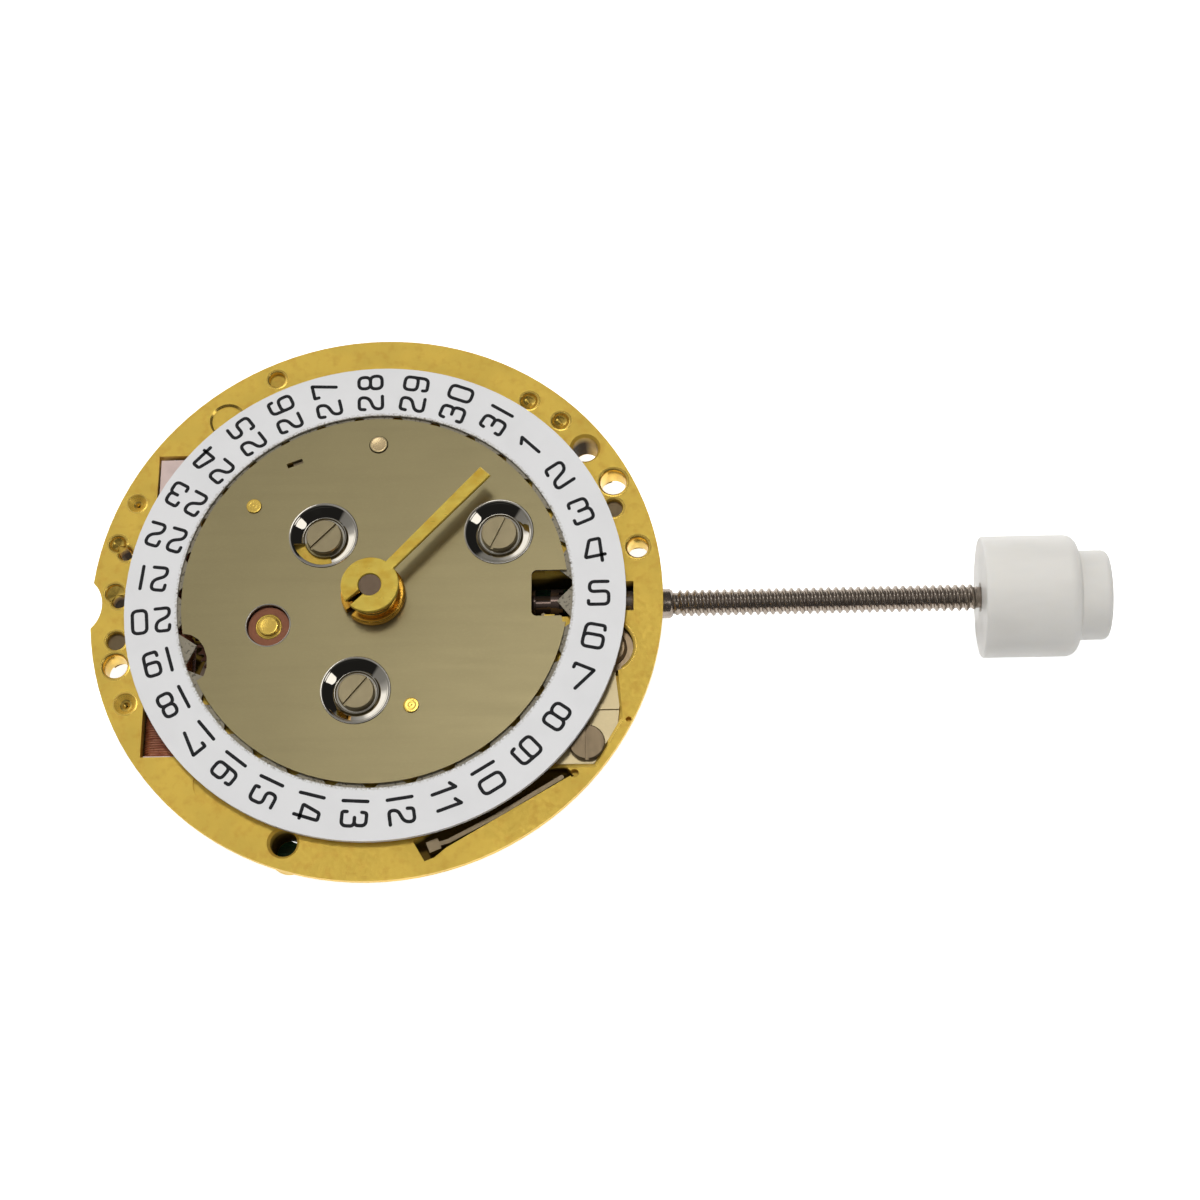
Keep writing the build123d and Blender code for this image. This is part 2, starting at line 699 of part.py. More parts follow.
def cut_movement_side(plate):
    """The pockets of the battery, the train, the motor, the coil and the crystal."""
    below = plate_bottom - overrun
    plate -= disc(battery_radius + battery_gap, below, battery_ceiling, battery_at)
    for place, radius in train_pockets():
        plate -= disc(radius, below, train_ceiling, place)
    plate -= stator_shape(side_gap, below, magnet_ceiling)
    window_right = coil_window_width - coil_window_left
    plate -= block(-coil_window_left, window_right, -coil_window_low, coil_window_high, below, overrun)
    core_room = core_half_length + side_gap
    core_side = core_width / 2 + side_gap
    plate -= block(coil_x - core_side, coil_x + core_side, -core_room, core_room, below, core_top + side_gap)
    plate -= prism(share_outline(left_notch_shares), magnet_ceiling - overrun, overrun)
    crystal_half = crystal_length / 2 + side_gap
    plate -= block(
        crystal_at[0] - crystal_half,
        crystal_at[0] + crystal_half + crystal_lead_length,
        crystal_at[1] - crystal_radius - side_gap,
        crystal_at[1] + crystal_radius + side_gap,
        below,
        -crystal_drop + crystal_radius + side_gap,
    )
    for place in jewel_places():
        plate -= disc(jewel_radius, train_ceiling - overrun, train_ceiling + jewel_thickness, place)
    plate -= disc(jewel_radius, magnet_ceiling - overrun, magnet_ceiling + jewel_thickness, rotor_at)
    for share in bridge_ear_shares + board_screw_shares + [clamp_place_share]:
        high = plate_bottom + bridge_screw_reach
        plate -= disc(bridge_screw_shank_radius + seat_gap, below, high, share_place(share))
    for place in stator_screw_places():
        high = magnet_ceiling + stator_screw_reach
        plate -= disc(stator_screw_shank_radius + seat_gap, magnet_ceiling - overrun, high, place)
    return plate


def make_main_plate():
    plate = cut_dial_side(plate_blank())
    plate = cut_rim_holes(cut_stem_side(plate))
    return cut_movement_side(plate)


bridge_ear_shares = [(0.2231, -0.2462), (-0.3615, -0.4846), (-0.3, 0.2)]
bridge_edge_shares = [
    (-0.377, 0.246), (-0.246, 0.262), (-0.092, 0.146), (0.1, 0.131), (0.169, -0.031),
    (0.3, -0.2), (0.285, -0.3), (0.185, -0.323), (-0.046, -0.4), (-0.292, -0.554),
    (-0.415, -0.546), (-0.53, -0.338), (-0.577, -0.108), (-0.569, 0), (-0.431, 0.108),
]


def train_pockets():
    return [
        (centre, tip_radius(centre_wheel_teeth, centre_module) + pocket_gap),
        (third_at, tip_radius(third_wheel_teeth, third_module) + pocket_gap),
        (fourth_at, tip_radius(fourth_wheel_teeth, fourth_module) + pocket_gap),
        (fifth_at, tip_radius(fifth_wheel_teeth, fifth_module) + pocket_gap),
    ]


def jewel_places():
    return [third_at, fourth_at, fifth_at]


def make_train_bridge():
    bridge = prism(share_outline(bridge_edge_shares), bridge_low, plate_bottom)
    for place in jewel_places() + [rotor_at, centre]:
        bridge -= disc(jewel_radius, plate_bottom - jewel_thickness, plate_bottom + overrun, place)
        bridge -= disc(train_pivot_radius * 2, bridge_low - overrun, plate_bottom, place)
    hole, head_room = bridge_screw_shank_radius + seat_gap, bridge_screw_head_radius + side_gap
    for share in bridge_ear_shares:
        bridge -= disc(hole, bridge_low - overrun, plate_bottom + overrun, share_place(share))
        bridge -= disc(head_room, bridge_low - overrun, bridge_low + bridge_counterbore, share_place(share))
    upright = bridge.edges().filter_by(Axis.Z)
    corners = upright.filter_by(lambda e: e.length > bridge_thickness * full_height_share)
    return fillet(corners, bridge_thickness / 2)


def make_jewels():
    places = [(place, train_ceiling) for place in jewel_places()]
    places.append((rotor_at, magnet_ceiling))
    for place in jewel_places() + [rotor_at, centre]:
        places.append((place, plate_bottom - jewel_thickness))
    jewels = []
    for place, low in places:
        jewels.append(ring(jewel_radius, train_pivot_radius + pivot_gap, low, low + jewel_thickness, place))
    return Compound(jewels)


def under_screw(
    place,
    angle,
    seat=plate_bottom,
    head_radius=bridge_screw_head_radius,
    head=bridge_screw_head_height,
    reach=bridge_screw_reach,
):
    """A slotted screw driven from the movement side."""
    screw = slotted_head(head_radius, seat - head, seat, place, angle, up=-1)
    return screw + disc(bridge_screw_shank_radius, seat - head / 2, seat + reach - side_gap, place)


def top_screw(place, angle, seat, head_radius, head, shank_radius, reach):
    """A slotted screw driven from the dial side."""
    screw = slotted_head(head_radius, seat, seat + head, place, angle)
    return screw + disc(shank_radius, seat - reach, seat + head / 2, place)


def dish_opening(place):
    """The sector of a dish's slope that is left out, so that the plate below shows."""
    corners = [(0, 0)] + [away(centre, angle, dish_radius * 2) for angle in dish_gap_angles]
    slope = ring(dish_radius + seat_gap, dish_seat_radius + ledge_gap, -overrun, calendar_top + overrun)
    return Pos(place[0], place[1], 0) * (prism(corners, -overrun, calendar_top + overrun) & slope)


def make_calendar_plate():
    plate = disc(calendar_radius, calendar_low, calendar_top)
    for place in dish_places:
        plate -= disc(dish_radius, calendar_low - overrun, calendar_top + overrun, place)
        dish = turned(
            [
                (dish_hole_radius, 0),
                (dish_seat_radius, 0),
                (dish_radius, calendar_low),
                (dish_radius + seat_gap, calendar_low),
                (dish_radius + seat_gap, calendar_top),
                (dish_radius, calendar_top),
                (dish_seat_radius, calendar_sheet),
                (dish_hole_radius, calendar_sheet),
            ]
        )
        plate += Pos(place[0], place[1], 0) * dish
    plate -= dish_opening(dish_places[dish_gap_place])
    low, high = calendar_low - overrun, calendar_top + overrun
    plate -= disc(calendar_hole_radius, low, high)
    plate -= disc(axle_window_radius, low, high, date_at)
    for share in calendar_post_shares:
        plate -= disc(calendar_post_radius + seat_gap, low, high, share_place(share))
    plate -= disc(jumper_post_radius + seat_gap, low, high, share_place(jumper_post_share))
    slot_at = share_place(slot_place_share)
    slot = block(-slot_length / 2, slot_length / 2, -slot_width / 2, slot_width / 2, low, high)
    plate -= Pos(slot_at[0], slot_at[1], 0) * Rot(0, 0, slot_angle) * slot
    notch = prism(share_outline(right_notch_shares), low, high)
    plate -= fillet(notch.edges().filter_by(Axis.Z).sort_by(Axis.X)[:2], right_notch_corner)
    plate -= prism(share_outline(left_notch_shares), low, high)
    return plate


def make_date_disc():
    """A flat ring with triangular teeth inside, cut at half its height."""
    points = []
    pitch = 360 / disc_teeth
    for tooth in range(disc_teeth):
        angle = disc_tooth_phase + pitch * tooth
        points.append(away(centre, angle, disc_tooth_tip_radius))
        for side_share in disc_tooth_side_shares:
            points.append(away(centre, angle + pitch * side_share, disc_inner_radius))
    toothed = disc(disc_outer_radius, disc_low, disc_low + disc_tooth_thickness)
    toothed -= prism(points, disc_low - overrun, disc_high + overrun)
    return toothed + ring(disc_outer_radius, disc_inner_radius, disc_low, disc_high)


def make_date_jumper():
    """A spring arm from its post to a beak between two teeth of the date disc."""
    low, high = disc_low, disc_low + disc_tooth_thickness
    post = share_place(jumper_post_share)
    start = away(centre, 90, date_jumper_radius)
    half = date_jumper_width / 2
    arc = ring(date_jumper_radius + half, date_jumper_radius - half, low, high)
    end_angle = date_jumper_end_angle + date_jumper_beak_turn
    corners = [(0, 0), away(centre, 90, movement_radius), away(centre, end_angle, movement_radius)]
    arm = arc & prism(corners, low, high)
    beak_angle = date_jumper_end_angle - degrees(date_jumper_beak_width / date_jumper_radius)
    beak = prism(
        [
            away(centre, end_angle, date_jumper_radius),
            away(centre, date_jumper_end_angle, date_jumper_tip_radius - 2 * running_gap),
            away(centre, beak_angle, date_jumper_radius),
        ],
        low,
        high,
    )
    hole = disc(jumper_post_radius + seat_gap, low, high, post)
    eye = disc(jumper_eye_radius, low, high, post) - hole
    link = strip(post, start, date_jumper_width, low, high) - hole
    return arm + beak + eye + link


def make_calendar_posts():
    """Two posts with bevelled tops that stand just above the calendar plate."""
    posts = []
    for share in calendar_post_shares:
        post = disc(calendar_post_radius, -stud_depth, calendar_top + calendar_post_rise, share_place(share))
        top_edge = post.edges().filter_by(GeomType.CIRCLE).sort_by(Axis.Z)[-1]
        posts.append(chamfer(top_edge, calendar_post_edge))
    return Compound(posts)


def make_stem():
    """A square, a groove for the setting lever, a plain shank and a thread, in one turning."""
    groove_end = stem_groove_start + stem_groove_width
    root = stem_thread_radius - stem_thread_depth
    x = stem_thread_start
    profile = [(groove_end, 0), (groove_end, stem_radius), (x, stem_radius)]
    for turn in range(stem_thread_turns):
        profile.append((x + stem_thread_pitch * thread_root_share, root))
        profile.append((x + stem_thread_pitch * (1 - thread_root_share), root))
        profile.append((x + stem_thread_pitch, stem_thread_radius))
        x += stem_thread_pitch
    profile.append((x, root))
    profile.append((stem_end_x, root))
    profile.append((stem_end_x, 0))
    shank = revolve(make_face(Polyline(*[(a, b, 0) for a, b in profile], close=True)), Axis.X)
    stem = Pos(0, 0, stem_z) * shank
    stem += rod(stem_groove_radius, stem_groove_start, stem_groove_start + stem_groove_width)
    stem += rod(stem_radius, stem_square_end, stem_groove_start)
    half = stem_square_half
    stem += block(stem_square_start, stem_square_end, -half, half, stem_z - half, stem_z + half)
    return stem + rod(stem_pilot_radius, stem_pilot_start, stem_square_start)


def make_crown():
    body_end = crown_start + crown_length
    body = rod(crown_radius, crown_start, body_end)
    body = fillet(body.edges().filter_by(GeomType.CIRCLE).sort_by(Axis.X)[-1], crown_edge)
    boss = rod(crown_boss_radius, body_end - crown_edge, body_end + crown_boss_length)
    boss = fillet(boss.edges().filter_by(GeomType.CIRCLE).sort_by(Axis.X)[-1], crown_edge / 2)
    return body + boss - rod(stem_thread_radius + seat_gap, crown_start - overrun, stem_end_x)


def make_sliding_pinion():
    """Face teeth at both ends, a groove for the yoke and a square hole for the stem."""
    first_end = pinion_start + pinion_tooth_length
    groove_end = first_end + pinion_groove_length
    end = groove_end + pinion_ratchet_length
    pinion = rod(pinion_radius, pinion_start, first_end) + rod(pinion_radius, groove_end, end)
    pinion += rod(pinion_groove_radius, first_end, groove_end)
    half = pinion_hole_half
    pinion -= block(pinion_start - overrun, end + overrun, -half, half, stem_z - half, stem_z + half)
    tooth = pi * pinion_radius / pinion_teeth
    for index in range(pinion_teeth):
        depth, high = pinion_tooth_depth, pinion_radius + overrun
        cut = block(-depth, depth, -tooth / 2, tooth / 2, pinion_groove_radius, high)
        for x in (pinion_start, end):
            pinion -= Pos(x, 0, stem_z) * Rot(index * 360 / pinion_teeth, 0, 0) * cut
    return pinion


def wheel_with_arbor(
    teeth,
    module,
    low,
    at,
    phase,
    pinion_count,
    pinion_module,
    pinion_low,
    pinion_high,
    pinion_phase,
    arbor_top,
):
    """A train wheel with spoke windows, its pinion, its arbor and two pivots."""
    rim_inner = tip_radius(teeth, module) * spoke_rim_share
    wheel = gear(teeth, module, low, low + train_wheel_thickness, at, phase)
    window = rim_inner * spoke_window_share
    for index in range(spoke_windows):
        window_at = away(at, phase + (index + 0.5) * 360 / spoke_windows, rim_inner * spoke_middle_share)
        wheel -= disc(window, low - overrun, low + overrun, window_at)
    wheel += gear(pinion_count, pinion_module, pinion_low, pinion_high, at, pinion_phase)
    wheel += disc(train_arbor_radius, plate_bottom + running_gap, arbor_top - running_gap, at)
    pivot_low = plate_bottom - train_pivot_length
    return wheel + disc(train_pivot_radius, pivot_low, arbor_top + train_pivot_length, at)


def phased_train():
    """Each wheel's phase, from the centre wheel outwards, so that all are in mesh at rest."""
    third_pinion = meshed_phase(centre_wheel_teeth, 0, centre, third_pinion_teeth, third_at)
    fourth_pinion = meshed_phase(third_wheel_teeth, 0, third_at, fourth_pinion_teeth, fourth_at)
    fifth_pinion = meshed_phase(fourth_wheel_teeth, 0, fourth_at, fifth_pinion_teeth, fifth_at)
    rotor_pinion = meshed_phase(fifth_wheel_teeth, 0, fifth_at, rotor_pinion_teeth, rotor_at)
    return third_pinion, fourth_pinion, fifth_pinion, rotor_pinion


third_phase, fourth_phase, fifth_phase, rotor_phase = phased_train()


def make_centre_wheel():
    low = centre_wheel_low
    wheel = gear(centre_wheel_teeth, centre_module, low, low + train_wheel_thickness, centre, 0)
    pitch_radius = centre_wheel_teeth * centre_module / 2
    for index in range(spoke_windows):
        angle = (index + 0.5) * 360 / spoke_windows
        window_at = away(centre, angle, centre_window_middle_share * pitch_radius)
        wheel -= disc(centre_window_share * pitch_radius, low - overrun, low + overrun, window_at)
    wheel += disc(arbor_radius, plate_bottom + running_gap, cannon_bore_high - side_gap)
    return wheel + disc(train_pivot_radius, plate_bottom - train_pivot_length, plate_bottom + side_gap)


def make_rotor():
    magnet = disc(rotor_radius, stator_low, stator_low + rotor_height - 2 * running_gap, rotor_at)
    pinion_high = rotor_pinion_low + rotor_pinion_height
    pinion = gear(rotor_pinion_teeth, fifth_module, rotor_pinion_low, pinion_high, rotor_at, rotor_phase)
    arbor = disc(train_arbor_radius, plate_bottom + running_gap, stator_low, rotor_at)
    pivot_low, pivot_high = plate_bottom - train_pivot_length, magnet_ceiling + train_pivot_length
    pivots = disc(train_pivot_radius, pivot_low, pivot_high, rotor_at)
    return magnet + pinion + arbor + pivots


minute_phase = meshed_phase(cannon_teeth, 0, centre, minute_wheel_teeth, minute_at)
minute_pinion_phase = meshed_phase(hour_wheel_teeth, 0, centre, minute_pinion_teeth, minute_at)
setting_phase = meshed_phase(minute_wheel_teeth, minute_phase, minute_at, setting_wheel_teeth, setting_at)
date_phase = meshed_phase(hour_drive_teeth, 0, centre, date_wheel_teeth, date_at)


def make_cannon_pinion():
    pinion = disc(cannon_outer_radius, cannon_low, hand_top - cannon_recess)
    pinion += gear(cannon_teeth, motion_module_low, cannon_teeth_low, cannon_teeth_high, centre, 0)
    return pinion - disc(arbor_radius + running_gap, cannon_low - overrun, cannon_bore_high)


def make_hour_wheel():
    top = hour_wheel_low + hour_wheel_thickness
    drive_top = hour_drive_low + motion_wheel_thickness
    wheel = gear(hour_drive_teeth, date_module, hour_drive_low, drive_top, centre, 0)
    wheel += disc(hour_pipe_radius + hour_pipe_wall * 2, hour_drive_low, top)
    wheel += gear(hour_wheel_teeth, motion_module_high, hour_wheel_low, top, centre, 0)
    wheel += disc(hour_pipe_radius + hour_pipe_wall, hour_drive_low, hour_pipe_high)
    return wheel - disc(hour_pipe_radius, hour_drive_low - overrun, hour_pipe_high + overrun)


def make_minute_wheel():
    top = minute_wheel_low + minute_wheel_thickness
    wheel = gear(minute_wheel_teeth, motion_module_low, minute_wheel_low, top, minute_at, minute_phase)
    high = minute_pinion_high
    wheel += gear(minute_pinion_teeth, motion_module_high, top, high, minute_at, minute_pinion_phase)
    low, high = minute_wheel_low - overrun, minute_pinion_high + overrun
    return wheel - disc(minute_stud_radius + running_gap, low, high, minute_at)


def make_setting_wheel():
    low, high = setting_wheel_low, setting_wheel_high
    wheel = gear(setting_wheel_teeth, motion_module_low, low, high, setting_at, setting_phase)
    return wheel - disc(minute_stud_radius + running_gap, low - overrun, high + overrun, setting_at)


def make_date_wheel():
    low, high = hour_drive_low, hour_drive_low + motion_wheel_thickness
    wheel = gear(date_wheel_teeth, date_module, low, high, date_at, date_phase)
    wheel += disc(date_hub_radius, low, date_hub_high, date_at)
    return wheel - disc(date_stud_radius + running_gap, low - overrun, date_hub_high + overrun, date_at)


def make_date_stud():
    """A headed stud that the date driving wheel turns on."""
    seat = date_hub_high + finger_thickness + running_gap
    stud = disc(date_stud_radius, date_stud_low, seat, date_at)
    return stud + disc(date_stud_head_radius, seat, seat + date_stud_head_height, date_at)


def make_date_finger():
    """A ring on the date wheel's hub with one long finger."""
    low, high = date_hub_high, date_hub_high + finger_thickness
    half_root, half_tip = finger_root_width / 2, finger_tip_width / 2
    corners = [(0, -half_root), (finger_reach, -half_tip), (finger_reach, half_tip), (0, half_root)]
    arm = prism(corners, low, high)
    finger = disc(finger_ring_radius, low, high, date_at)
    finger += Pos(date_at[0], date_at[1], 0) * Rot(0, 0, finger_angle) * arm
    return finger - disc(date_stud_radius + running_gap, low - overrun, high + overrun, date_at)


def make_hand():
    """The hub with its slit and the tapering blade."""
    low = hand_top - hand_thickness
    hub = disc(hand_hub_radius, low, hand_top)
    root, tip = hand_root_width / 2, hand_tip_width / 2
    blade = prism([(0, -root), (hand_reach, -tip), (hand_reach, tip), (0, root)], low, hand_top)
    hand = hub + Rot(0, 0, hand_angle) * blade
    hand -= disc(cannon_outer_radius + seat_gap, low - overrun, hand_top + overrun)
    half = hand_slit_width / 2
    slit = block(0, hand_hub_radius + overrun, -half, half, low - overrun, hand_top + overrun)
    return hand - Rot(0, 0, hand_slit_angle) * slit


def make_collet():
    """A turned foot, a waist and a top flange under the hand, split on one side."""
    top = hand_top - hand_thickness
    foot_top = collet_low + collet_foot_height
    bore = cannon_outer_radius + seat_gap
    clear = hour_pipe_radius + hour_pipe_wall + running_gap * 2
    clear_high = hour_pipe_high + side_gap
    profile = [
        (clear, collet_low),
        (collet_foot_radius, collet_low),
        (collet_foot_radius, foot_top),
        (collet_neck_radius, foot_top + collet_neck_height / 2),
        (collet_neck_radius, foot_top + collet_neck_height),
        (hand_hub_radius - screw_edge, top - side_gap),
        (hand_hub_radius - screw_edge, top),
        (bore, top),
        (bore, clear_high),
        (clear, clear_high),
    ]
    half = hand_slit_width / 2
    slit = block(0, collet_foot_radius + overrun, -half, half, collet_low - overrun, top + overrun)
    return turned(profile) - Rot(0, 0, hand_slit_angle) * slit


def make_coil_bobbin():
    """A square tube on the core, with a thin flange at one end and the terminal block at the other."""
    core_middle = (core_top + core_low) / 2
    half = bobbin_width / 2
    tube_half = core_width / 2 + bobbin_wall
    tube_thick = core_thickness / 2 + bobbin_wall
    low, high = core_middle - tube_thick, core_middle + tube_thick
    body = block(coil_x - tube_half, coil_x + tube_half, flange_low, terminal_high, low, high)
    flange_high = flange_low + flange_thickness
    body += block(coil_x - half, coil_x + half, flange_low, flange_high, bobbin_low, flange_top)
    body += block(coil_x - half, coil_x + half, terminal_low, terminal_high, bobbin_low, bobbin_top)
    slot = core_width / 2 + running_gap
    low, high = core_low - running_gap, core_top + running_gap
    return body - block(coil_x - slot, coil_x + slot, flange_low - overrun, terminal_high + overrun, low, high)


def make_coil_winding():
    core_middle = (core_top + core_low) / 2
    half = bobbin_width / 2 - winding_inset
    low_y, high_y = flange_low + flange_thickness + seat_gap, terminal_low - seat_gap
    low, high = bobbin_low + winding_inset, bobbin_top - winding_inset
    winding = block(coil_x - half, coil_x + half, low_y, high_y, low, high)
    winding = fillet(winding.edges().filter_by(Axis.Y), winding_corner)
    tube_half = core_width / 2 + bobbin_wall + seat_gap
    tube_thick = core_thickness / 2 + bobbin_wall + seat_gap
    low, high = core_middle - tube_thick, core_middle + tube_thick
    return winding - block(coil_x - tube_half, coil_x + tube_half, low_y - overrun, high_y + overrun, low, high)


def make_stator():
    stator = stator_shape(0, stator_low, stator_top)
    stator -= disc(stator_hole_radius, stator_low - overrun, stator_top + overrun, rotor_at)
    stator -= disc(stator_arbor_hole_radius, stator_low - overrun, stator_top + overrun, fifth_at)
    for place in stator_screw_places():
        stator -= disc(stator_screw_shank_radius + seat_gap, stator_low - overrun, stator_top + overrun, place)
    return stator


def make_coil_core():
    """A flat soft iron bar through the coil, with a screw hole at each end."""
    half = core_width / 2
    core = block(coil_x - half, coil_x + half, -core_half_length, core_half_length, core_low, core_top)
    for place in stator_screw_places():
        core -= disc(stator_screw_shank_radius + seat_gap, core_low - overrun, core_top + overrun, place)
    return core


def make_stator_screws():
    """The screws that hold the coil's core and the stator's tabs up against the plate."""
    screws = []
    for place, angle in zip(stator_screw_places(), stator_screw_angles):
        low = core_low - stator_screw_head_height
        screw = slotted_head(stator_screw_head_radius, low, core_low, place, angle, up=-1)
        high = magnet_ceiling + stator_screw_reach - seat_gap * 2
        screws.append(screw + disc(stator_screw_shank_radius, core_low - seat_gap, high, place))
    return Compound(screws)


def make_battery():
    """A button cell: the wide can above, the smaller cap with a rounded edge below."""
    cap_high = battery_top - (battery_height - battery_cap_height)
    can = disc(battery_radius, battery_low + battery_rim / 2, battery_top, battery_at)
    can = fillet(can.edges().filter_by(GeomType.CIRCLE), battery_rim / 4)
    return can + disc(battery_radius - battery_rim, battery_low, cap_high, battery_at)


def make_battery_clamp():
    """A steel strap from its screw, down over the edge of the battery and across it."""
    foot = share_place(clamp_place_share)
    angle = degrees(atan2(battery_at[1] - foot[1], battery_at[0] - foot[0]))
    low = battery_low - clamp_thickness - running_gap
    half = clamp_width / 2
    step = clamp_foot_length * clamp_step_share
    reach = hypot(battery_at[0] - foot[0], battery_at[1] - foot[1]) - battery_radius * clamp_tip_share
    strap = block(-step, step, -half, half, plate_bottom - clamp_thickness, plate_bottom)
    strap += block(step - clamp_thickness, step, -half, half, low, plate_bottom)
    strap += block(step - clamp_thickness, reach, -half, half, low, low + clamp_thickness)
    strap = Pos(foot[0], foot[1], 0) * Rot(0, 0, angle) * strap
    return strap - disc(bridge_screw_shank_radius + seat_gap, low - overrun, plate_bottom + overrun, foot)


def make_battery_contact():
    """A thin spring blade between the battery and the plate."""
    half = contact_width / 2
    low = battery_top + seat_gap
    reach = battery_radius * contact_reach_share
    x, y = battery_at
    return block(x - reach, x + reach, y - half, y + half, low, low + contact_thickness)


def make_battery_insulator():
    """A plastic ring between the edge of the battery and the plate."""
    outer, inner = battery_radius - side_gap, battery_radius - insulator_width / 2
    return ring(outer, inner, battery_ceiling - insulator_thickness, battery_ceiling, battery_at)


def make_circuit_board():
    board = prism(share_outline(board_edge_shares), plate_bottom - board_thickness, plate_bottom)
    board &= disc(board_radius, plate_bottom - board_thickness, plate_bottom)
    low, high = plate_bottom - board_thickness - overrun, plate_bottom + overrun
    for share in board_screw_shares:
        board -= disc(bridge_screw_shank_radius + seat_gap, low, high, share_place(share))
    board -= disc(keeper_radius + side_gap * 2, low, high, keeper_place(dial_foot_shares[0]))
    half = crystal_length / 2 + side_gap
    side = crystal_radius + side_gap
    x, y = crystal_at
    return board - block(x - half, x + half, y - side, y + side, low, high)


def make_chip():
    place = share_place(chip_place_share)
    half = chip_size / 2
    high = plate_bottom - board_thickness
    chip = block(place[0] - half, place[0] + half, place[1] - half, place[1] + half, high - chip_height, high)
    return fillet(chip.edges().filter_by(Axis.Z), chip_size / 8)


def make_crystal():
    """A round steel can with two leads."""
    x_low = crystal_at[0] - crystal_length / 2
    x_high = x_low + crystal_length
    can = rod(crystal_radius, x_low, x_high, crystal_at[1], -crystal_drop)
    can = fillet(can.edges().filter_by(GeomType.CIRCLE).sort_by(Axis.X)[0], crystal_radius / 4)
    for side in (-crystal_lead_spread, crystal_lead_spread):
        lead_y = crystal_at[1] + side
        can += rod(crystal_lead_radius, x_high, x_high + crystal_lead_length, lead_y, -crystal_drop)
    return can


def make_setting_lever():
    low = lever_top - lever_thickness
    lever = lever_shape(0, low, lever_top)
    lever += disc(lever_nib_radius, lever_nib_low, lever_top, lever_nib_place)
    cap = disc(lever_cap_radius, low, lever_cap_top, lever_boss_place)
    lever += chamfer(cap.edges().filter_by(GeomType.CIRCLE).sort_by(Axis.Z)[-1], lever_cap_edge)
    return lever - disc(lever_stud_radius + running_gap, low - overrun, lever_top + overrun, lever_pivot)


def make_yoke():
    low = yoke_top - yoke_thickness
    yoke = yoke_shape(0, low, yoke_top)
    return yoke - disc(yoke_stud_radius + running_gap, low - overrun, yoke_top + overrun, yoke_pivot)


def make_lever_jumper():
    """A flat spring plate over the setting lever, with a raised band across it."""
    low = jumper_floor + running_gap / 2
    plate = prism(share_outline(jumper_edge_shares), low, low + jumper_thickness)
    plate -= disc(lever_stud_radius + side_gap, low - overrun, overrun, lever_pivot)
    outline = prism(share_outline(jumper_edge_shares), low, low + jumper_thickness + jumper_step_height)
    band = block(0, movement_radius, jumper_step_low_y, jumper_step_high_y, low, overrun)
    plate += outline & band
    screw_at = share_place(jumper_screw_share)
    return plate - disc(bridge_screw_shank_radius + seat_gap, low - overrun, overrun, screw_at)


def make_yoke_spring():
    """A blade spring on edge in its slot, with a square foot at the fixed end."""
    points = share_outline(spring_path_shares)
    length, width = spring_foot_length / 2, spring_foot_width / 2
    foot = block(-length, length, -width, width, spring_floor, spring_top)
    blade = Pos(points[0][0], points[0][1], 0) * Rot(0, 0, spring_foot_angle) * foot
    for start, end in zip(points, points[1:]):
        blade += strip(start, end, spring_width, spring_floor, spring_top)
    return blade


def make_dial_foot_keepers():
    """Small slotted screws beside the dial foot holes."""
    keepers = []
    for share in dial_foot_shares:
        place = keeper_place(share)
        keepers.append(under_screw(place, keeper_slot_angle, head_radius=keeper_radius, head=keeper_height))
    return Compound(keepers)


def make_lever_studs():
    """The fixed studs that the setting lever and the yoke turn on."""
    lever_floor = lever_top - lever_thickness - well_floor_gap
    lever_stud = disc(lever_stud_radius, lever_floor - stud_depth, lever_top + side_gap, lever_pivot)
    yoke_stud = disc(yoke_stud_radius, cavity_floor - stud_depth, yoke_top + well_floor_gap, yoke_pivot)
    return Compound([lever_stud, yoke_stud])


def make_calendar_screws():
    """The three screws in the dishes."""
    screws = []
    for place, angle in zip(dish_places, dish_slot_angles):
        screws.append(
            top_screw(
                place,
                angle,
                calendar_sheet,
                plate_screw_head_radius,
                plate_screw_head_height,
                plate_screw_shank_radius,
                plate_screw_reach,
            )
        )
    return Compound(screws)


def make_jumper_post():
    high = calendar_top + calendar_post_rise
    return disc(jumper_post_radius, -rim_thickness / 2, high, share_place(jumper_post_share))


def make_bridge_screws():
    """The three screws of the train bridge, sunk into its face."""
    seat = bridge_low + bridge_counterbore
    screws = []
    for share, angle in zip(bridge_ear_shares, bridge_screw_angles):
        screws.append(under_screw(share_place(share), angle, seat=seat))
    return Compound(screws)


def make_board_screws():
    screws = []
    for share, angle in zip(board_screw_shares, board_screw_angles):
        screws.append(under_screw(share_place(share), angle, seat=plate_bottom - board_thickness))
    return Compound(screws)


def make_jumper_screw():
    """The screw of the setting lever's spring plate."""
    return top_screw(
        share_place(jumper_screw_share),
        jumper_screw_angle,
        jumper_floor + running_gap / 2 + jumper_thickness,
        bridge_screw_head_radius,
        plate_screw_head_height,
        bridge_screw_shank_radius,
        jumper_screw_reach,
    )


def make_rim_pins():
    """Plugs that close two of the rim's holes, below its face."""
    pins = [disc(rim_pin_radius, rim_pin_low, rim_pin_top, share_place(share)) for share in rim_pin_shares]
    return Compound(pins)


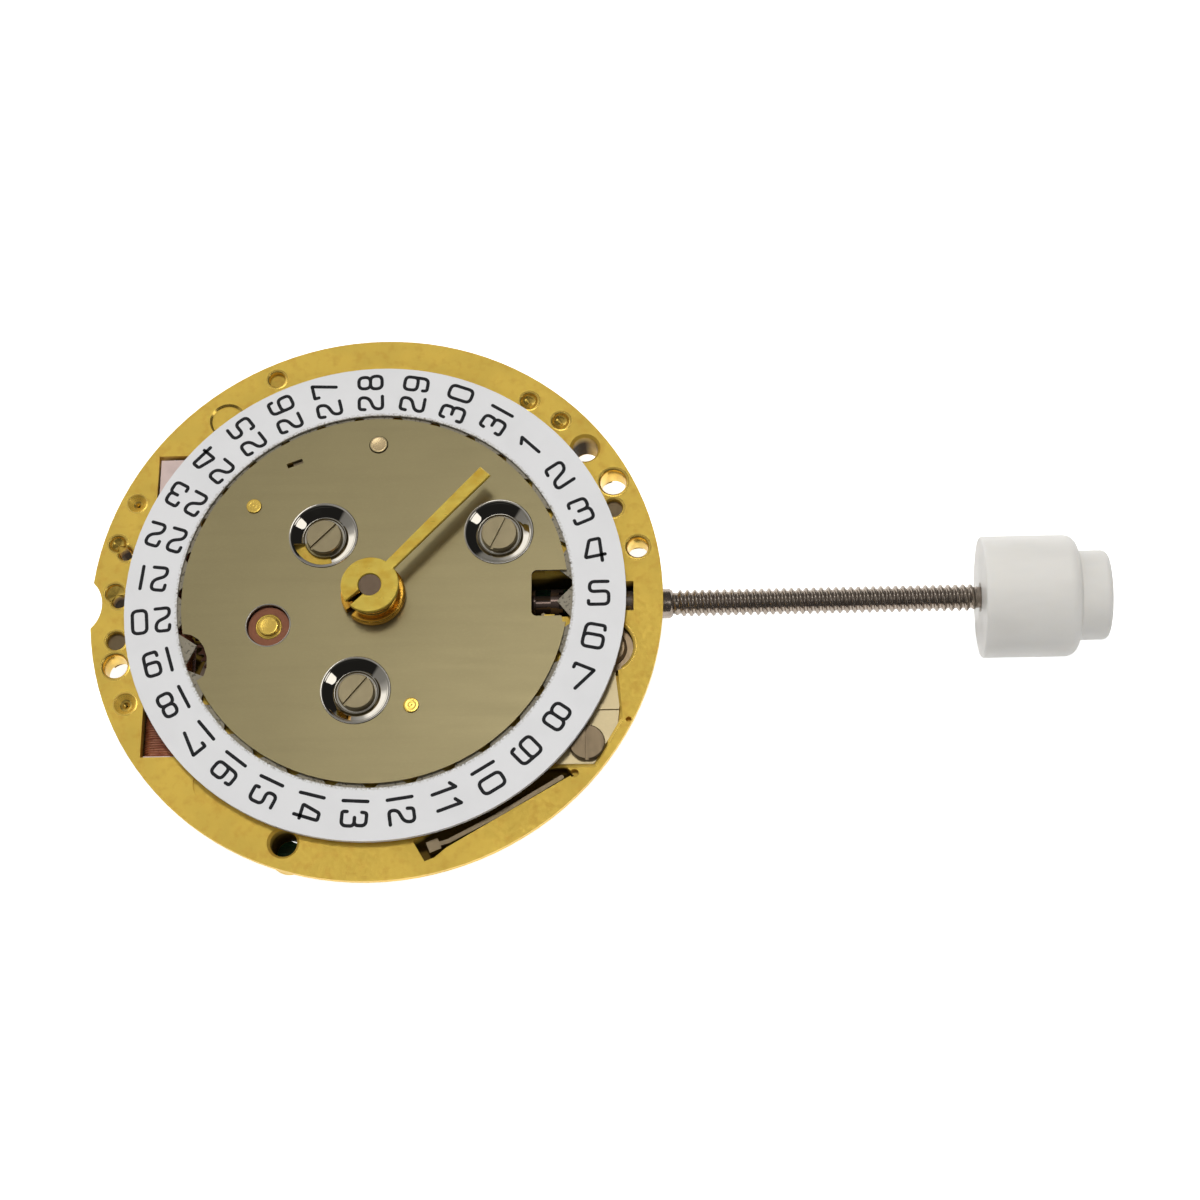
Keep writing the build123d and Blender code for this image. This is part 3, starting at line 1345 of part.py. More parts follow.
pieces = {
    "main_plate": make_main_plate(),
    "calendar_plate": make_calendar_plate(),
    "calendar_plate_screws": make_calendar_screws(),
    "calendar_posts": make_calendar_posts(),
    "date_disc": make_date_disc(),
    "date_jumper": make_date_jumper(),
    "date_jumper_post": make_jumper_post(),
    "date_driving_wheel": make_date_wheel(),
    "date_finger": make_date_finger(),
    "date_wheel_stud": make_date_stud(),
    "hour_wheel": make_hour_wheel(),
    "minute_wheel": make_minute_wheel(),
    "minute_wheel_stud": disc(
        minute_stud_radius, -stud_depth - rim_thickness, minute_pinion_high + well_floor_gap, minute_at
    ),
    "setting_wheel": make_setting_wheel(),
    "setting_wheel_stud": disc(
        minute_stud_radius, setting_wheel_low - stud_depth, setting_wheel_high + well_floor_gap, setting_at
    ),
    "cannon_pinion": make_cannon_pinion(),
    "minute_hand": make_hand(),
    "hand_collet": make_collet(),
    "centre_bush": ring(
        centre_bush_radius, arbor_radius + running_gap, train_ceiling, cannon_low - well_floor_gap
    ),
    "centre_wheel": make_centre_wheel(),
    "third_wheel": wheel_with_arbor(
        third_wheel_teeth,
        third_module,
        third_wheel_low,
        third_at,
        0,
        third_pinion_teeth,
        centre_module,
        third_pinion_low,
        third_pinion_low + train_pinion_height,
        third_phase,
        train_ceiling,
    ),
    "fourth_wheel": wheel_with_arbor(
        fourth_wheel_teeth,
        fourth_module,
        fourth_wheel_low,
        fourth_at,
        0,
        fourth_pinion_teeth,
        third_module,
        fourth_pinion_low,
        fourth_pinion_low + train_pinion_height,
        fourth_phase,
        train_ceiling,
    ),
    "fifth_wheel": wheel_with_arbor(
        fifth_wheel_teeth,
        fifth_module,
        fifth_wheel_low,
        fifth_at,
        0,
        fifth_pinion_teeth,
        fourth_module,
        fifth_pinion_low,
        fifth_pinion_low + fifth_pinion_height,
        fifth_phase,
        train_ceiling,
    ),
    "rotor": make_rotor(),
    "train_jewels": make_jewels(),
    "train_bridge": make_train_bridge(),
    "train_bridge_screws": make_bridge_screws(),
    "stator": make_stator(),
    "stator_screws": make_stator_screws(),
    "coil_core": make_coil_core(),
    "coil_bobbin": make_coil_bobbin(),
    "coil_winding": make_coil_winding(),
    "battery": make_battery(),
    "battery_clamp": make_battery_clamp(),
    "battery_clamp_screw": under_screw(
        share_place(clamp_place_share), clamp_screw_angle, seat=plate_bottom - clamp_thickness
    ),
    "battery_contact": make_battery_contact(),
    "battery_insulator": make_battery_insulator(),
    "circuit_board": make_circuit_board(),
    "circuit_screws": make_board_screws(),
    "circuit_chip": make_chip(),
    "quartz_crystal": make_crystal(),
    "stem": make_stem(),
    "crown": make_crown(),
    "sliding_pinion": make_sliding_pinion(),
    "setting_lever": make_setting_lever(),
    "setting_lever_jumper": make_lever_jumper(),
    "setting_lever_jumper_screw": make_jumper_screw(),
    "yoke": make_yoke(),
    "yoke_spring": make_yoke_spring(),
    "lever_studs": make_lever_studs(),
    "dial_foot_keepers": make_dial_foot_keepers(),
    "rim_pins": make_rim_pins(),
}

for name, piece in pieces.items():
    export_step(piece, f"parts/{name}.step")
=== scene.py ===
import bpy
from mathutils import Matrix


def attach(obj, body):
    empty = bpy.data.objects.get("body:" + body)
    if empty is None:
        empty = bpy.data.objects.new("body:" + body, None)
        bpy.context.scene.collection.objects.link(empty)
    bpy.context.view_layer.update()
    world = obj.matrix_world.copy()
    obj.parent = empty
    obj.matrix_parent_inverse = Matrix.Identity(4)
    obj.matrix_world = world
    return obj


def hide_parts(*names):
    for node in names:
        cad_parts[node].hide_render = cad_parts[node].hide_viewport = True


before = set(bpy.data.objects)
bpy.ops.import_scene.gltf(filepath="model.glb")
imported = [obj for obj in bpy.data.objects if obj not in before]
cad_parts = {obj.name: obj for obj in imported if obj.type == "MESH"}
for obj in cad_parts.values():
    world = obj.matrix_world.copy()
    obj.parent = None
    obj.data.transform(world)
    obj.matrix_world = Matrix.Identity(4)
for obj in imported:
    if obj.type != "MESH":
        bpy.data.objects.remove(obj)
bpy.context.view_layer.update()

import math

import bpy
from bpy.props import FloatProperty, FloatVectorProperty, IntProperty, PointerProperty
from bpy.types import Operator, Panel, PropertyGroup
from mathutils import Matrix, Vector

bl_info = {
    "name": "Quartz watch movement",
    "version": (1, 0, 0),
    "blender": (4, 5, 0),
    "location": "3D View > Sidebar > Movement",
    "description": "Dresses the packed watch movement: finishes, date numerals, hand, stem, crown and studio",
    "category": "Object",
}

MM = 0.001
FULL_TURN = 2 * math.pi


def paint(red, green, blue):
    """A colour given on a 0 to 255 scale, as Blender stores it."""
    linear = []
    for channel in (red, green, blue):
        share = channel / 255
        linear.append(share / 12.92 if share <= 0.04045 else ((share + 0.055) / 1.055) ** 2.4)
    return tuple(linear)


def colour_setting(name, description, red, green, blue):
    return FloatVectorProperty(
        name=name, description=description, subtype="COLOR", size=3, min=0, max=1,
        default=paint(red, green, blue),
    )


def length_setting(name, description, millimetres):
    return FloatProperty(
        name=name, description=description, unit="LENGTH", precision=5, min=0, default=millimetres * MM
    )


def power_setting(name, description, watts):
    return FloatProperty(name=name, description=description, unit="POWER", precision=3, min=0, default=watts)


def level_setting(name, description, level):
    return FloatProperty(name=name, description=description, min=0, default=level)


class MovementColours(PropertyGroup):
    gilding: colour_setting("Gilding", "Gilded main plate and rim", 247, 209, 93)
    polished_gilt: colour_setting("Polished gilt", "Turned mouths of the rim's holes", 246, 208, 100)
    # Painted shade: the dark colour laid on the main plate's walls and floors below its face
    gilt_shadow: colour_setting("Gilt shadow", "Walls and floors below the gilded face", 48, 30, 12)
    champagne: colour_setting("Champagne", "Nickelled calendar plate", 161, 148, 108)
    spring_plate: colour_setting("Spring plate", "Stepped plate over the setting lever", 206, 188, 146)
    lever_steel: colour_setting("Lever steel", "Setting lever beside the stem", 178, 154, 122)
    disc_white: colour_setting("Disc white", "Lacquer of the date disc", 232, 232, 233)
    disc_soil: colour_setting("Disc soil", "Teeth and worn inner edge of the date disc", 146, 137, 116)
    numeral_ink: colour_setting("Numeral ink", "Printed date numerals", 14, 14, 18)
    hand_gilt: colour_setting("Hand gilt", "Minute hand", 222, 194, 84)
    collet_gold: colour_setting("Collet gold", "Turned collar under the hand", 244, 186, 72)
    arbor_end: colour_setting("Arbor end", "Cannon pinion seen in the hand's hub", 118, 100, 82)
    wheel_brass: colour_setting("Wheel brass", "Wheels of the train and the motion work", 206, 168, 92)
    rose_brass: colour_setting("Rose brass", "Date wheel seen in the round window", 150, 98, 74)
    plug_grey: colour_setting("Plug grey", "Plugs in the rim", 128, 110, 82)
    dial_screw: colour_setting("Dial screw", "Slotted screws in the dishes", 164, 150, 117)
    # Painted shade: a darker steel than the other steel parts, for the sliding pinion in the shade of the
    # notch
    pinion_steel: colour_setting("Pinion steel", "Sliding pinion seen in the right notch", 104, 88, 80)
    jumper_screw: colour_setting("Jumper screw", "Screw of the setting lever's spring plate", 141, 123, 97)
    steel: colour_setting("Steel", "Screws, studs and arbors", 196, 190, 178)
    spring_steel: colour_setting("Spring steel", "Springs and yoke", 140, 124, 98)
    post_cream: colour_setting("Cream gilding", "Post near 12 o'clock", 226, 200, 152)
    stem_steel: colour_setting("Stem steel", "Threaded stem", 158, 146, 134)
    crown_white: colour_setting("Crown white", "Milky plastic of the crown", 233, 231, 226)
    copper: colour_setting("Copper", "Enamelled wire of the coil", 208, 140, 110)
    terminal_white: colour_setting("Terminal white", "Plastic of the coil's bobbin", 226, 204, 198)
    board_green: colour_setting("Board green", "Circuit board", 38, 92, 58)
    black_plastic: colour_setting("Black plastic", "Chip and insulating ring", 30, 30, 32)
    jewel_red: colour_setting("Jewel red", "Train jewels", 190, 22, 66)
    motor_iron: colour_setting("Motor iron", "Stator and coil core", 120, 104, 90)
    floor_white: colour_setting("Floor white", "Studio floor", 236, 236, 236)


class MovementSizes(PropertyGroup):
    numeral_stroke: length_setting("Numeral stroke", "Width of the printed line", 0.155)
    numeral_height: length_setting("Numeral height", "Height of a numeral, round the disc", 1.24)
    numeral_width: length_setting("Numeral width", "Width of one of two digits", 0.8)
    single_width: length_setting("Single width", "Width of a digit that stands alone", 1.06)
    numeral_gap: length_setting("Numeral gap", "Space between two digits", 0.25)
    numeral_corner: length_setting("Numeral corner", "Corner radius of the digits", 0.25)
    numeral_radius: length_setting("Numeral radius", "Middle of the numerals on the disc", 10.12)
    ink_thickness: length_setting("Ink thickness", "How far the print stands up", 0.008)
    hand_edge: length_setting("Hand edge", "Bevel round the hand's upper face", 0.035)
    dish_lip: length_setting("Dish lip", "Rolled lip round a pressed dish", 0.09)
    wire_pitch: length_setting("Wire pitch", "Spacing of the winding's visible turns", 0.11)
    crown_inner_edge: length_setting("Crown inner edge", "Roundness of the crown's inner edge", 0.12)
    numerals: IntProperty(
        name="Numerals", description="How many days the disc shows", default=31, min=1, max=31
    )


class MovementStudio(PropertyGroup):
    key_power: power_setting("Key power", "Lamp overhead that casts the shadows", 1.13)
    key_size: length_setting("Key size", "Width of that lamp", 48)
    glare_power: power_setting("Glare power", "Lamp overhead that the metals reflect", 0.075)
    glare_size: length_setting("Glare size", "Width of that lamp", 100)
    fill_power: power_setting("Fill power", "Lamp behind the camera that lifts the shadows", 0.62)
    fill_size: length_setting("Fill size", "Width of that lamp", 200)
    spot_power: power_setting("Spot power", "Small lamp on the right", 0.1)
    spot_size: length_setting("Spot size", "Width of that lamp", 150)
    sky_bright: level_setting("Bright sky", "Room at the upper left of the picture", 1.1)
    sky_dark: level_setting("Dark sky", "Room behind the camera on the right", 0.02)
    floor_glow: level_setting("Floor glow", "Light that only the camera and reflections see", 0.85)


# Material making

# Sockets of Blender's Mix node when it mixes colours
MIX_FACTOR, MIX_FIRST, MIX_SECOND, MIX_RESULT = 0, 6, 7, 2

# Radius and height over which the main plate's gilded face gives way to the painted shade of its recesses, in
# millimetres
FACE_FADE, RECESS_FADE, UNDERSIDE_FADE = (12.3, 12.6), (-0.75, -0.12), (-2.04, -2.0)

# Radius over which the date disc's soiled edge and its teeth give way to clean lacquer, and over which the
# date wheel's rose brass gives way to the painted shade over its teeth
SOIL_FADE, TEETH_FADE, TEETH_SHADE_FADE = (8.96, 9.12), (8.93, 8.98), (6.2, 7.0)


class Finish:
    """A node material in the making, with its shader and the piece's own coordinates."""

    def __init__(self, name, colour, roughness, metallic=0.0):
        self.material = bpy.data.materials.new(name)
        self.material.use_nodes = True
        self.nodes = self.material.node_tree.nodes
        self.links = self.material.node_tree.links
        self.shader = self.nodes["Principled BSDF"]
        self.shader.inputs["Base Color"].default_value = (*colour, 1)
        self.shader.inputs["Roughness"].default_value = roughness
        self.shader.inputs["Metallic"].default_value = metallic
        self.place = self.nodes.new("ShaderNodeTexCoord").outputs["Object"]
        self.height = None
        self.material.diffuse_color = (*colour, 1)

    def node(self, kind, **settings):
        made = self.nodes.new(kind)
        for key, value in settings.items():
            setattr(made, key, value)
        return made

    def join(self, source, target):
        self.links.new(source, target)

    def grain(self, size, detail=3.0, stretch=(1, 1, 1), turn=0.0):
        """Noise whose features are about this size in millimetres."""
        mapping = self.node("ShaderNodeMapping")
        mapping.inputs["Scale"].default_value = [share / (size * MM) for share in stretch]
        mapping.inputs["Rotation"].default_value = (0, 0, turn)
        noise = self.node("ShaderNodeTexNoise")
        noise.inputs["Scale"].default_value = 1.0
        noise.inputs["Detail"].default_value = detail
        self.join(self.place, mapping.inputs["Vector"])
        self.join(mapping.outputs["Vector"], noise.inputs["Vector"])
        return noise.outputs["Fac"]

    def spread(self, value, low, high, start=0.3, end=0.7):
        """Stretches a noise value onto a range."""
        ramp = self.node("ShaderNodeMapRange")
        ramp.inputs["From Min"].default_value = start
        ramp.inputs["From Max"].default_value = end
        ramp.inputs["To Min"].default_value = low
        ramp.inputs["To Max"].default_value = high
        self.join(value, ramp.inputs["Value"])
        return ramp.outputs["Result"]

    def tint(self, value, other, start=0.35, end=0.65, amount=1.0):
        """Mixes another colour in where the value is high."""
        mix = self.node("ShaderNodeMix", data_type="RGBA")
        mix.inputs[MIX_FACTOR].default_value = 0
        self.join(self.spread(value, 0, amount, start, end), mix.inputs[MIX_FACTOR])
        base = self.shader.inputs["Base Color"]
        if base.links:
            self.join(base.links[0].from_socket, mix.inputs[MIX_FIRST])
        else:
            mix.inputs[MIX_FIRST].default_value = base.default_value
        mix.inputs[MIX_SECOND].default_value = (*other, 1)
        self.join(mix.outputs[MIX_RESULT], base)

    def rough(self, value, low, high):
        """Lets the roughness wander between two levels."""
        self.join(self.spread(value, low, high), self.shader.inputs["Roughness"])

    def bump(self, value, depth):
        """Raises the surface by this many millimetres where the value is high, over what is there."""
        made = self.node("ShaderNodeBump")
        made.inputs["Strength"].default_value = 1.0
        made.inputs["Distance"].default_value = depth * MM
        self.join(value, made.inputs["Height"])
        if self.height is not None:
            self.join(self.height, made.inputs["Normal"])
        self.height = made.outputs["Normal"]
        self.join(self.height, self.shader.inputs["Normal"])

    def combine(self, operation, first, second):
        """The sum, product or the like of two values, each a socket or a plain number."""
        made = self.node("ShaderNodeMath", operation=operation)
        for value, socket in zip((first, second), made.inputs):
            if isinstance(value, float):
                socket.default_value = value
            else:
                self.join(value, socket)
        return made.outputs[0]

    def radius(self):
        """Distance from the movement's axis, in millimetres."""
        split = self.node("ShaderNodeSeparateXYZ")
        self.join(self.place, split.inputs[0])
        flat = self.node("ShaderNodeCombineXYZ")
        self.join(split.outputs["X"], flat.inputs["X"])
        self.join(split.outputs["Y"], flat.inputs["Y"])
        length = self.node("ShaderNodeVectorMath", operation="LENGTH")
        self.join(flat.outputs[0], length.inputs[0])
        return self.combine("DIVIDE", length.outputs["Value"], MM)

    def depth(self):
        """Height above the rim's face, in millimetres."""
        split = self.node("ShaderNodeSeparateXYZ")
        self.join(self.place, split.inputs[0])
        return self.combine("DIVIDE", split.outputs["Z"], MM)

    def product(self, first, second):
        return self.combine("MULTIPLY", first, second)


def shade(colour, amount):
    """The same colour, darker below one and lighter above it."""
    return tuple(min(1.0, channel * amount) for channel in colour)


def gilt_finish(colours):
    """Matt gilded brass: a fine blasted grain, slow clouds of warmer and cooler gold, and painted shade in
    its recesses.
    """
    finish = Finish("gilded_brass", colours.gilding, 0.4, 0.62)
    finish.tint(finish.grain(2.6, 2), shade(colours.gilding, 0.84), 0.42, 0.66, 0.7)
    finish.tint(finish.grain(0.5, 4), paint(226, 172, 70), 0.5, 0.7, 0.45)
    # Painted shade: walls and floors inside this radius and below this height are darkened, and lose their
    # metal and reflection
    inside = finish.spread(finish.radius(), 1, 0, *FACE_FADE)
    sunk = finish.spread(finish.depth(), 1, 0, *RECESS_FADE)
    above = finish.spread(finish.depth(), 0, 1, *UNDERSIDE_FADE)
    recess_shade = finish.product(finish.product(inside, sunk), above)
    finish.tint(recess_shade, colours.gilt_shadow, 0, 1, 0.9)
    finish.join(finish.spread(recess_shade, 0.62, 0, 0, 1), finish.shader.inputs["Metallic"])
    finish.join(finish.spread(recess_shade, 0.5, 0.05, 0, 1), finish.shader.inputs["Specular IOR Level"])
    finish.rough(finish.grain(0.18, 4), 0.36, 0.52)
    finish.bump(finish.grain(0.05, 3), 0.004)
    finish.bump(finish.grain(0.9, 2), 0.008)
    return finish.material


def champagne_finish(name, colour):
    """Nickelled plate with a mottled, slightly stained surface."""
    finish = Finish(name, colour, 0.3, 0.74)
    finish.tint(finish.grain(3.4, 3), shade(colour, 0.9), 0.4, 0.68, 0.5)
    finish.tint(finish.grain(0.5, 5, (0.06, 1, 1)), shade(colour, 0.88), 0.46, 0.7, 0.4)
    finish.tint(finish.grain(0.07, 3, (0.5, 1, 1)), shade(colour, 1.08), 0.5, 0.7, 0.3)
    finish.rough(finish.grain(0.4, 3, (0.1, 1, 1)), 0.288, 0.312)
    finish.bump(finish.grain(2.6, 2), 0.004)
    return finish.material


def disc_finish(colours):
    """White lacquer, soiled along the worn inner edge, with darker grey teeth."""
    finish = Finish("disc_lacquer", colours.disc_white, 0.42)
    finish.shader.inputs["Coat Weight"].default_value = 0.15
    finish.shader.inputs["Coat Roughness"].default_value = 0.2
    finish.tint(finish.grain(1.8, 2), shade(colours.disc_white, 0.95), 0.4, 0.7, 0.8)
    worn = finish.spread(finish.radius(), 1, 0, *SOIL_FADE)
    patchy = finish.spread(finish.grain(0.09, 5), 0.1, 0.9, 0.4, 0.66)
    finish.tint(finish.product(worn, patchy), colours.disc_soil, 0.05, 0.9, 0.8)
    teeth = finish.spread(finish.radius(), 1, 0, *TEETH_FADE)
    finish.tint(teeth, shade(colours.disc_soil, 0.86), 0, 1, 0.95)
    crumbs = finish.product(worn, finish.spread(finish.grain(0.13, 4), 0, 1, 0.56, 0.62))
    finish.tint(crumbs, shade(colours.disc_soil, 0.3), 0.4, 0.9, 0.85)
    finish.rough(finish.grain(0.2, 4), 0.36, 0.5)
    finish.bump(finish.grain(0.12, 3), 0.002)
    return finish.material


def ink_finish(colours):
    """Matt printing ink, a little thinner in places."""
    finish = Finish("numeral_ink", colours.numeral_ink, 0.5)
    finish.tint(finish.grain(0.25, 4), shade(colours.numeral_ink, 1.8), 0.5, 0.72, 0.5)
    finish.rough(finish.grain(0.1, 3), 0.42, 0.62)
    finish.bump(finish.grain(0.05, 3), 0.002)
    return finish.material


def steel_finish(name, colour, roughness, brush_turn=0.0, spots=0.5):
    """Turned or stamped steel with fine brushing and faint oil tint."""
    finish = Finish(name, colour, roughness, 0.85)
    finish.tint(finish.grain(0.6, 4), shade(colour, 0.74), 0.45, 0.72, spots)
    finish.rough(finish.grain(0.12, 4, (1, 0.12, 1), brush_turn), roughness * 0.9, roughness * 1.1)
    finish.bump(finish.grain(0.03, 3, (1, 0.08, 1), brush_turn), 0.00012)
    finish.bump(finish.grain(0.5, 2), 0.002)
    return finish.material


def brass_finish(name, colour, roughness=0.32):
    """Turned brass or gilding with faint darker stains."""
    finish = Finish(name, colour, roughness, 0.85)
    finish.tint(finish.grain(0.9, 4), shade(colour, 0.76), 0.42, 0.7, 0.6)
    finish.rough(finish.grain(0.15, 4), roughness * 0.9, roughness * 1.25)
    finish.bump(finish.grain(0.05, 3, (1, 0.2, 1)), 0.001)
    return finish.material


def rose_finish(colours):
    """Rose brass, darkened by painted shade at the wheel's teeth, out of sight of the round window."""
    finish = Finish("rose_brass", colours.rose_brass, 0.3, 0.85)
    finish.tint(finish.grain(0.9, 4), shade(colours.rose_brass, 0.8), 0.42, 0.7, 0.6)
    # Painted shade: the teeth outside this radius are darkened nearly to black
    teeth_shade = finish.spread(finish.radius(), 0, 1, *TEETH_SHADE_FADE)
    finish.tint(teeth_shade, shade(colours.rose_brass, 0.16), 0, 1, 0.95)
    finish.rough(finish.grain(0.15, 4), 0.29, 0.38)
    finish.bump(finish.grain(0.05, 3, (1, 0.2, 1)), 0.001)
    return finish.material


def hand_finish(colours):
    """Bright gilding with fine lengthwise strokes."""
    finish = Finish("hand_gilt", colours.hand_gilt, 0.34, 0.7)
    turn = -math.radians(HAND_ANGLE)
    finish.tint(finish.grain(0.7, 3), paint(206, 160, 48), 0.42, 0.7, 0.7)
    finish.rough(finish.grain(0.08, 4, (0.12, 1, 1), turn), 0.26, 0.46)
    finish.bump(finish.grain(0.04, 3, (0.1, 1, 1), turn), 0.001)
    finish.bump(finish.grain(0.9, 2), 0.014)
    return finish.material


def collet_finish(colours):
    """Deep gold, turned smooth, with darker patches of painted reflection."""
    finish = Finish("collet_gilt", colours.collet_gold, 0.2, 0.9)
    # Painted reflection: darker patches of the gold that stand for the dark walls it reflects
    finish.tint(finish.grain(0.5, 3), shade(colours.collet_gold, 0.5), 0.45, 0.75, 0.5)
    finish.rough(finish.grain(0.1, 4, (1, 1, 4)), 0.16, 0.26)
    finish.bump(finish.grain(0.05, 2, (0.3, 0.3, 2)), 0.002)
    return finish.material


def crown_finish(colours):
    """Milky plastic that light gets into, with faint flow marks."""
    finish = Finish("crown_plastic", colours.crown_white, 0.4)
    finish.shader.inputs["Subsurface Weight"].default_value = 0.35
    finish.shader.inputs["Subsurface Radius"].default_value = (1.0, 0.92, 0.8)
    finish.shader.inputs["Subsurface Scale"].default_value = 0.9 * MM
    finish.tint(finish.grain(1.6, 3, (0.4, 1, 1)), shade(colours.crown_white, 0.93), 0.4, 0.7, 0.8)
    finish.rough(finish.grain(0.3, 4), 0.34, 0.5)
    finish.bump(finish.grain(0.5, 3, (0.3, 1, 1)), 0.008)
    return finish.material


def plastic_finish(name, colour, roughness=0.45):
    """Moulded plastic with a faint grain."""
    finish = Finish(name, colour, roughness)
    finish.tint(finish.grain(0.8, 3), shade(colour, 0.82), 0.42, 0.7, 0.7)
    finish.rough(finish.grain(0.15, 4), roughness * 0.8, roughness * 1.25)
    finish.bump(finish.grain(0.08, 3), 0.004)
    return finish.material


def board_finish(colours):
    """Green solder mask over copper tracks that show as lighter lines."""
    finish = Finish("board_green", colours.board_green, 0.35)
    finish.shader.inputs["Coat Weight"].default_value = 0.4
    tracks = finish.node("ShaderNodeTexBrick")
    tracks.inputs["Scale"].default_value = 1 / (1.6 * MM)
    tracks.inputs["Mortar Size"].default_value = 0.04
    tracks.inputs["Color1"].default_value = (0, 0, 0, 1)
    tracks.inputs["Color2"].default_value = (0, 0, 0, 1)
    tracks.inputs["Mortar"].default_value = (1, 1, 1, 1)
    finish.join(finish.place, tracks.inputs["Vector"])
    finish.tint(tracks.outputs["Fac"], shade(colours.board_green, 1.9), 0.3, 0.7, 0.9)
    finish.tint(finish.grain(0.5, 4), shade(colours.board_green, 0.6), 0.45, 0.7, 0.6)
    finish.rough(finish.grain(0.2, 4), 0.28, 0.44)
    finish.bump(tracks.outputs["Fac"], 0.01)
    return finish.material


def wire_finish(colours):
    """Enamelled copper wire."""
    finish = Finish("copper_wire", colours.copper, 0.3, 0.8)
    finish.shader.inputs["Coat Weight"].default_value = 0.5
    finish.shader.inputs["Coat Roughness"].default_value = 0.15
    finish.tint(finish.grain(0.4, 4, (1, 4, 1)), paint(140, 60, 42), 0.42, 0.7, 0.7)
    finish.rough(finish.grain(0.15, 4), 0.24, 0.4)
    finish.bump(finish.grain(0.05, 2, (0.3, 3, 1)), 0.004)
    return finish.material


def jewel_finish(colours):
    """Red jewel that lets some light through."""
    finish = Finish("train_jewel", colours.jewel_red, 0.12)
    finish.shader.inputs["Transmission Weight"].default_value = 0.35
    finish.shader.inputs["IOR"].default_value = 1.76
    finish.tint(finish.grain(0.3, 2), shade(colours.jewel_red, 0.6), 0.4, 0.7, 0.6)
    finish.rough(finish.grain(0.1, 3), 0.08, 0.2)
    return finish.material


def floor_finish(studio, colours):
    """A pale floor that takes the object's shadow, reads as white to the camera, and is clear from below."""
    finish = Finish("studio_floor", colours.floor_white, 0.8)
    finish.tint(finish.grain(60, 2), shade(colours.floor_white, 0.985), 0.4, 0.7, 0.6)
    seen = finish.node("ShaderNodeLightPath")
    either = finish.combine("MAXIMUM", seen.outputs["Is Camera Ray"], seen.outputs["Is Glossy Ray"])
    any_of_them = finish.combine("MAXIMUM", either, seen.outputs["Is Transmission Ray"])
    strength = finish.combine("MULTIPLY", any_of_them, studio.floor_glow)
    glow = finish.node("ShaderNodeEmission")
    finish.join(strength, glow.inputs["Strength"])
    both = finish.node("ShaderNodeAddShader")
    finish.join(finish.shader.outputs[0], both.inputs[0])
    finish.join(glow.outputs[0], both.inputs[1])
    sides = finish.node("ShaderNodeMixShader")
    finish.join(finish.node("ShaderNodeNewGeometry").outputs["Backfacing"], sides.inputs[0])
    finish.join(both.outputs[0], sides.inputs[1])
    finish.join(finish.node("ShaderNodeBsdfTransparent").outputs[0], sides.inputs[2])
    finish.join(sides.outputs[0], finish.nodes["Material Output"].inputs["Surface"])
    return finish.material


# Mesh making

# The shortest line that still has a direction, and how far a printed line's corners may reach out
TINY = 1e-9
SHARPEST_CORNER, LONGEST_MITRE = 0.5, 1.6


def new_piece(name, points, faces, material, smooth_angle=None):
    """A mesh object from points in millimetres."""
    mesh = bpy.data.meshes.new(name)
    mesh.from_pydata([(x * MM, y * MM, z * MM) for x, y, z in points], [], faces)
    mesh.validate()
    mesh.materials.append(material)
    if smooth_angle is not None:
        mesh.shade_smooth()
        mesh.set_sharp_from_angle(angle=math.radians(smooth_angle))
    made = bpy.data.objects.new(name, mesh)
    bpy.context.scene.collection.objects.link(made)
    return made


def polar(radius, degrees):
    """A point at this distance and angle from the middle."""
    return radius * math.cos(math.radians(degrees)), radius * math.sin(math.radians(degrees))


def rounded_path(points, radius, closed=False, steps=6):
    """The same line with its corners rounded off."""
    count = len(points)
    out = []
    for index, point in enumerate(points):
        at = Vector(point)
        if not closed and index in (0, count - 1):
            out.append(at)
            continue
        before = Vector(points[index - 1])
        after = Vector(points[(index + 1) % count])
        reach = min(radius, (before - at).length / 2, (after - at).length / 2)
        start = at + (before - at).normalized() * reach
        end = at + (after - at).normalized() * reach
        for step in range(steps + 1):
            share = step / steps
            rest = 1 - share
            out.append(start * rest ** 2 + at * 2 * share * rest + end * share ** 2)
    return out


def printed_end(end, inner, half, low, high, place, points, faces, steps=6):
    """Adds the round end of a raised line."""
    away = (end - inner).normalized()
    across = Vector((-away.y, away.x))
    rim = []
    for step in range(steps + 1):
        turn = math.pi * step / steps
        flat = end + (across * math.cos(turn) + away * math.sin(turn)) * half
        rim.append(len(points))
        points.append((*place(flat), high))
        points.append((*place(flat), low))
    faces.append(tuple(reversed(rim)))
    for one, two in zip(rim, rim[1:]):
        faces.append((one, two, two + 1, one + 1))


def printed_line(path, closed, width, low, high, place, points, faces):
    """Adds a raised line of this width along a flat path. place puts a flat point on the disc."""
    count = len(path)
    half = width / 2
    sides = []
    for index in range(count):
        if closed:
            before, after = path[index - 1], path[(index + 1) % count]
        else:
            before, after = path[max(index - 1, 0)], path[min(index + 1, count - 1)]
        into, out = path[index] - before, after - path[index]
        into = into.normalized() if into.length > TINY else out.normalized()
        out = out.normalized() if out.length > TINY else into
        along = (into + out).normalized()
        mitre = min(1 / max(along.dot(out), SHARPEST_CORNER), LONGEST_MITRE)
        across = Vector((-along.y, along.x)) * half * mitre
        sides.append((path[index] + across, path[index] - across))
    first = len(points)
    for left, right in sides:
        for flat, z in ((left, high), (right, high), (left, low), (right, low)):
            points.append((*place(flat), z))
    last = count if closed else count - 1
    for index in range(last):
        a, b = first + 4 * index, first + 4 * ((index + 1) % count)
        faces += [(a, a + 1, b + 1, b), (a + 2, a, b, b + 2), (a + 1, a + 3, b + 3, b + 1)]
    if not closed:
        printed_end(path[0], path[1], half, low, high, place, points, faces)
        printed_end(path[-1], path[-2], half, low, high, place, points, faces)


def ring_faces(rings, count):
    """Faces between closed rings of points that follow one another."""
    faces = []
    for ring in range(rings - 1):
        one, two = ring * count, (ring + 1) * count
        for index in range(count):
            after = (index + 1) % count
            faces.append((one + index, one + after, two + after, two + index))
    return faces


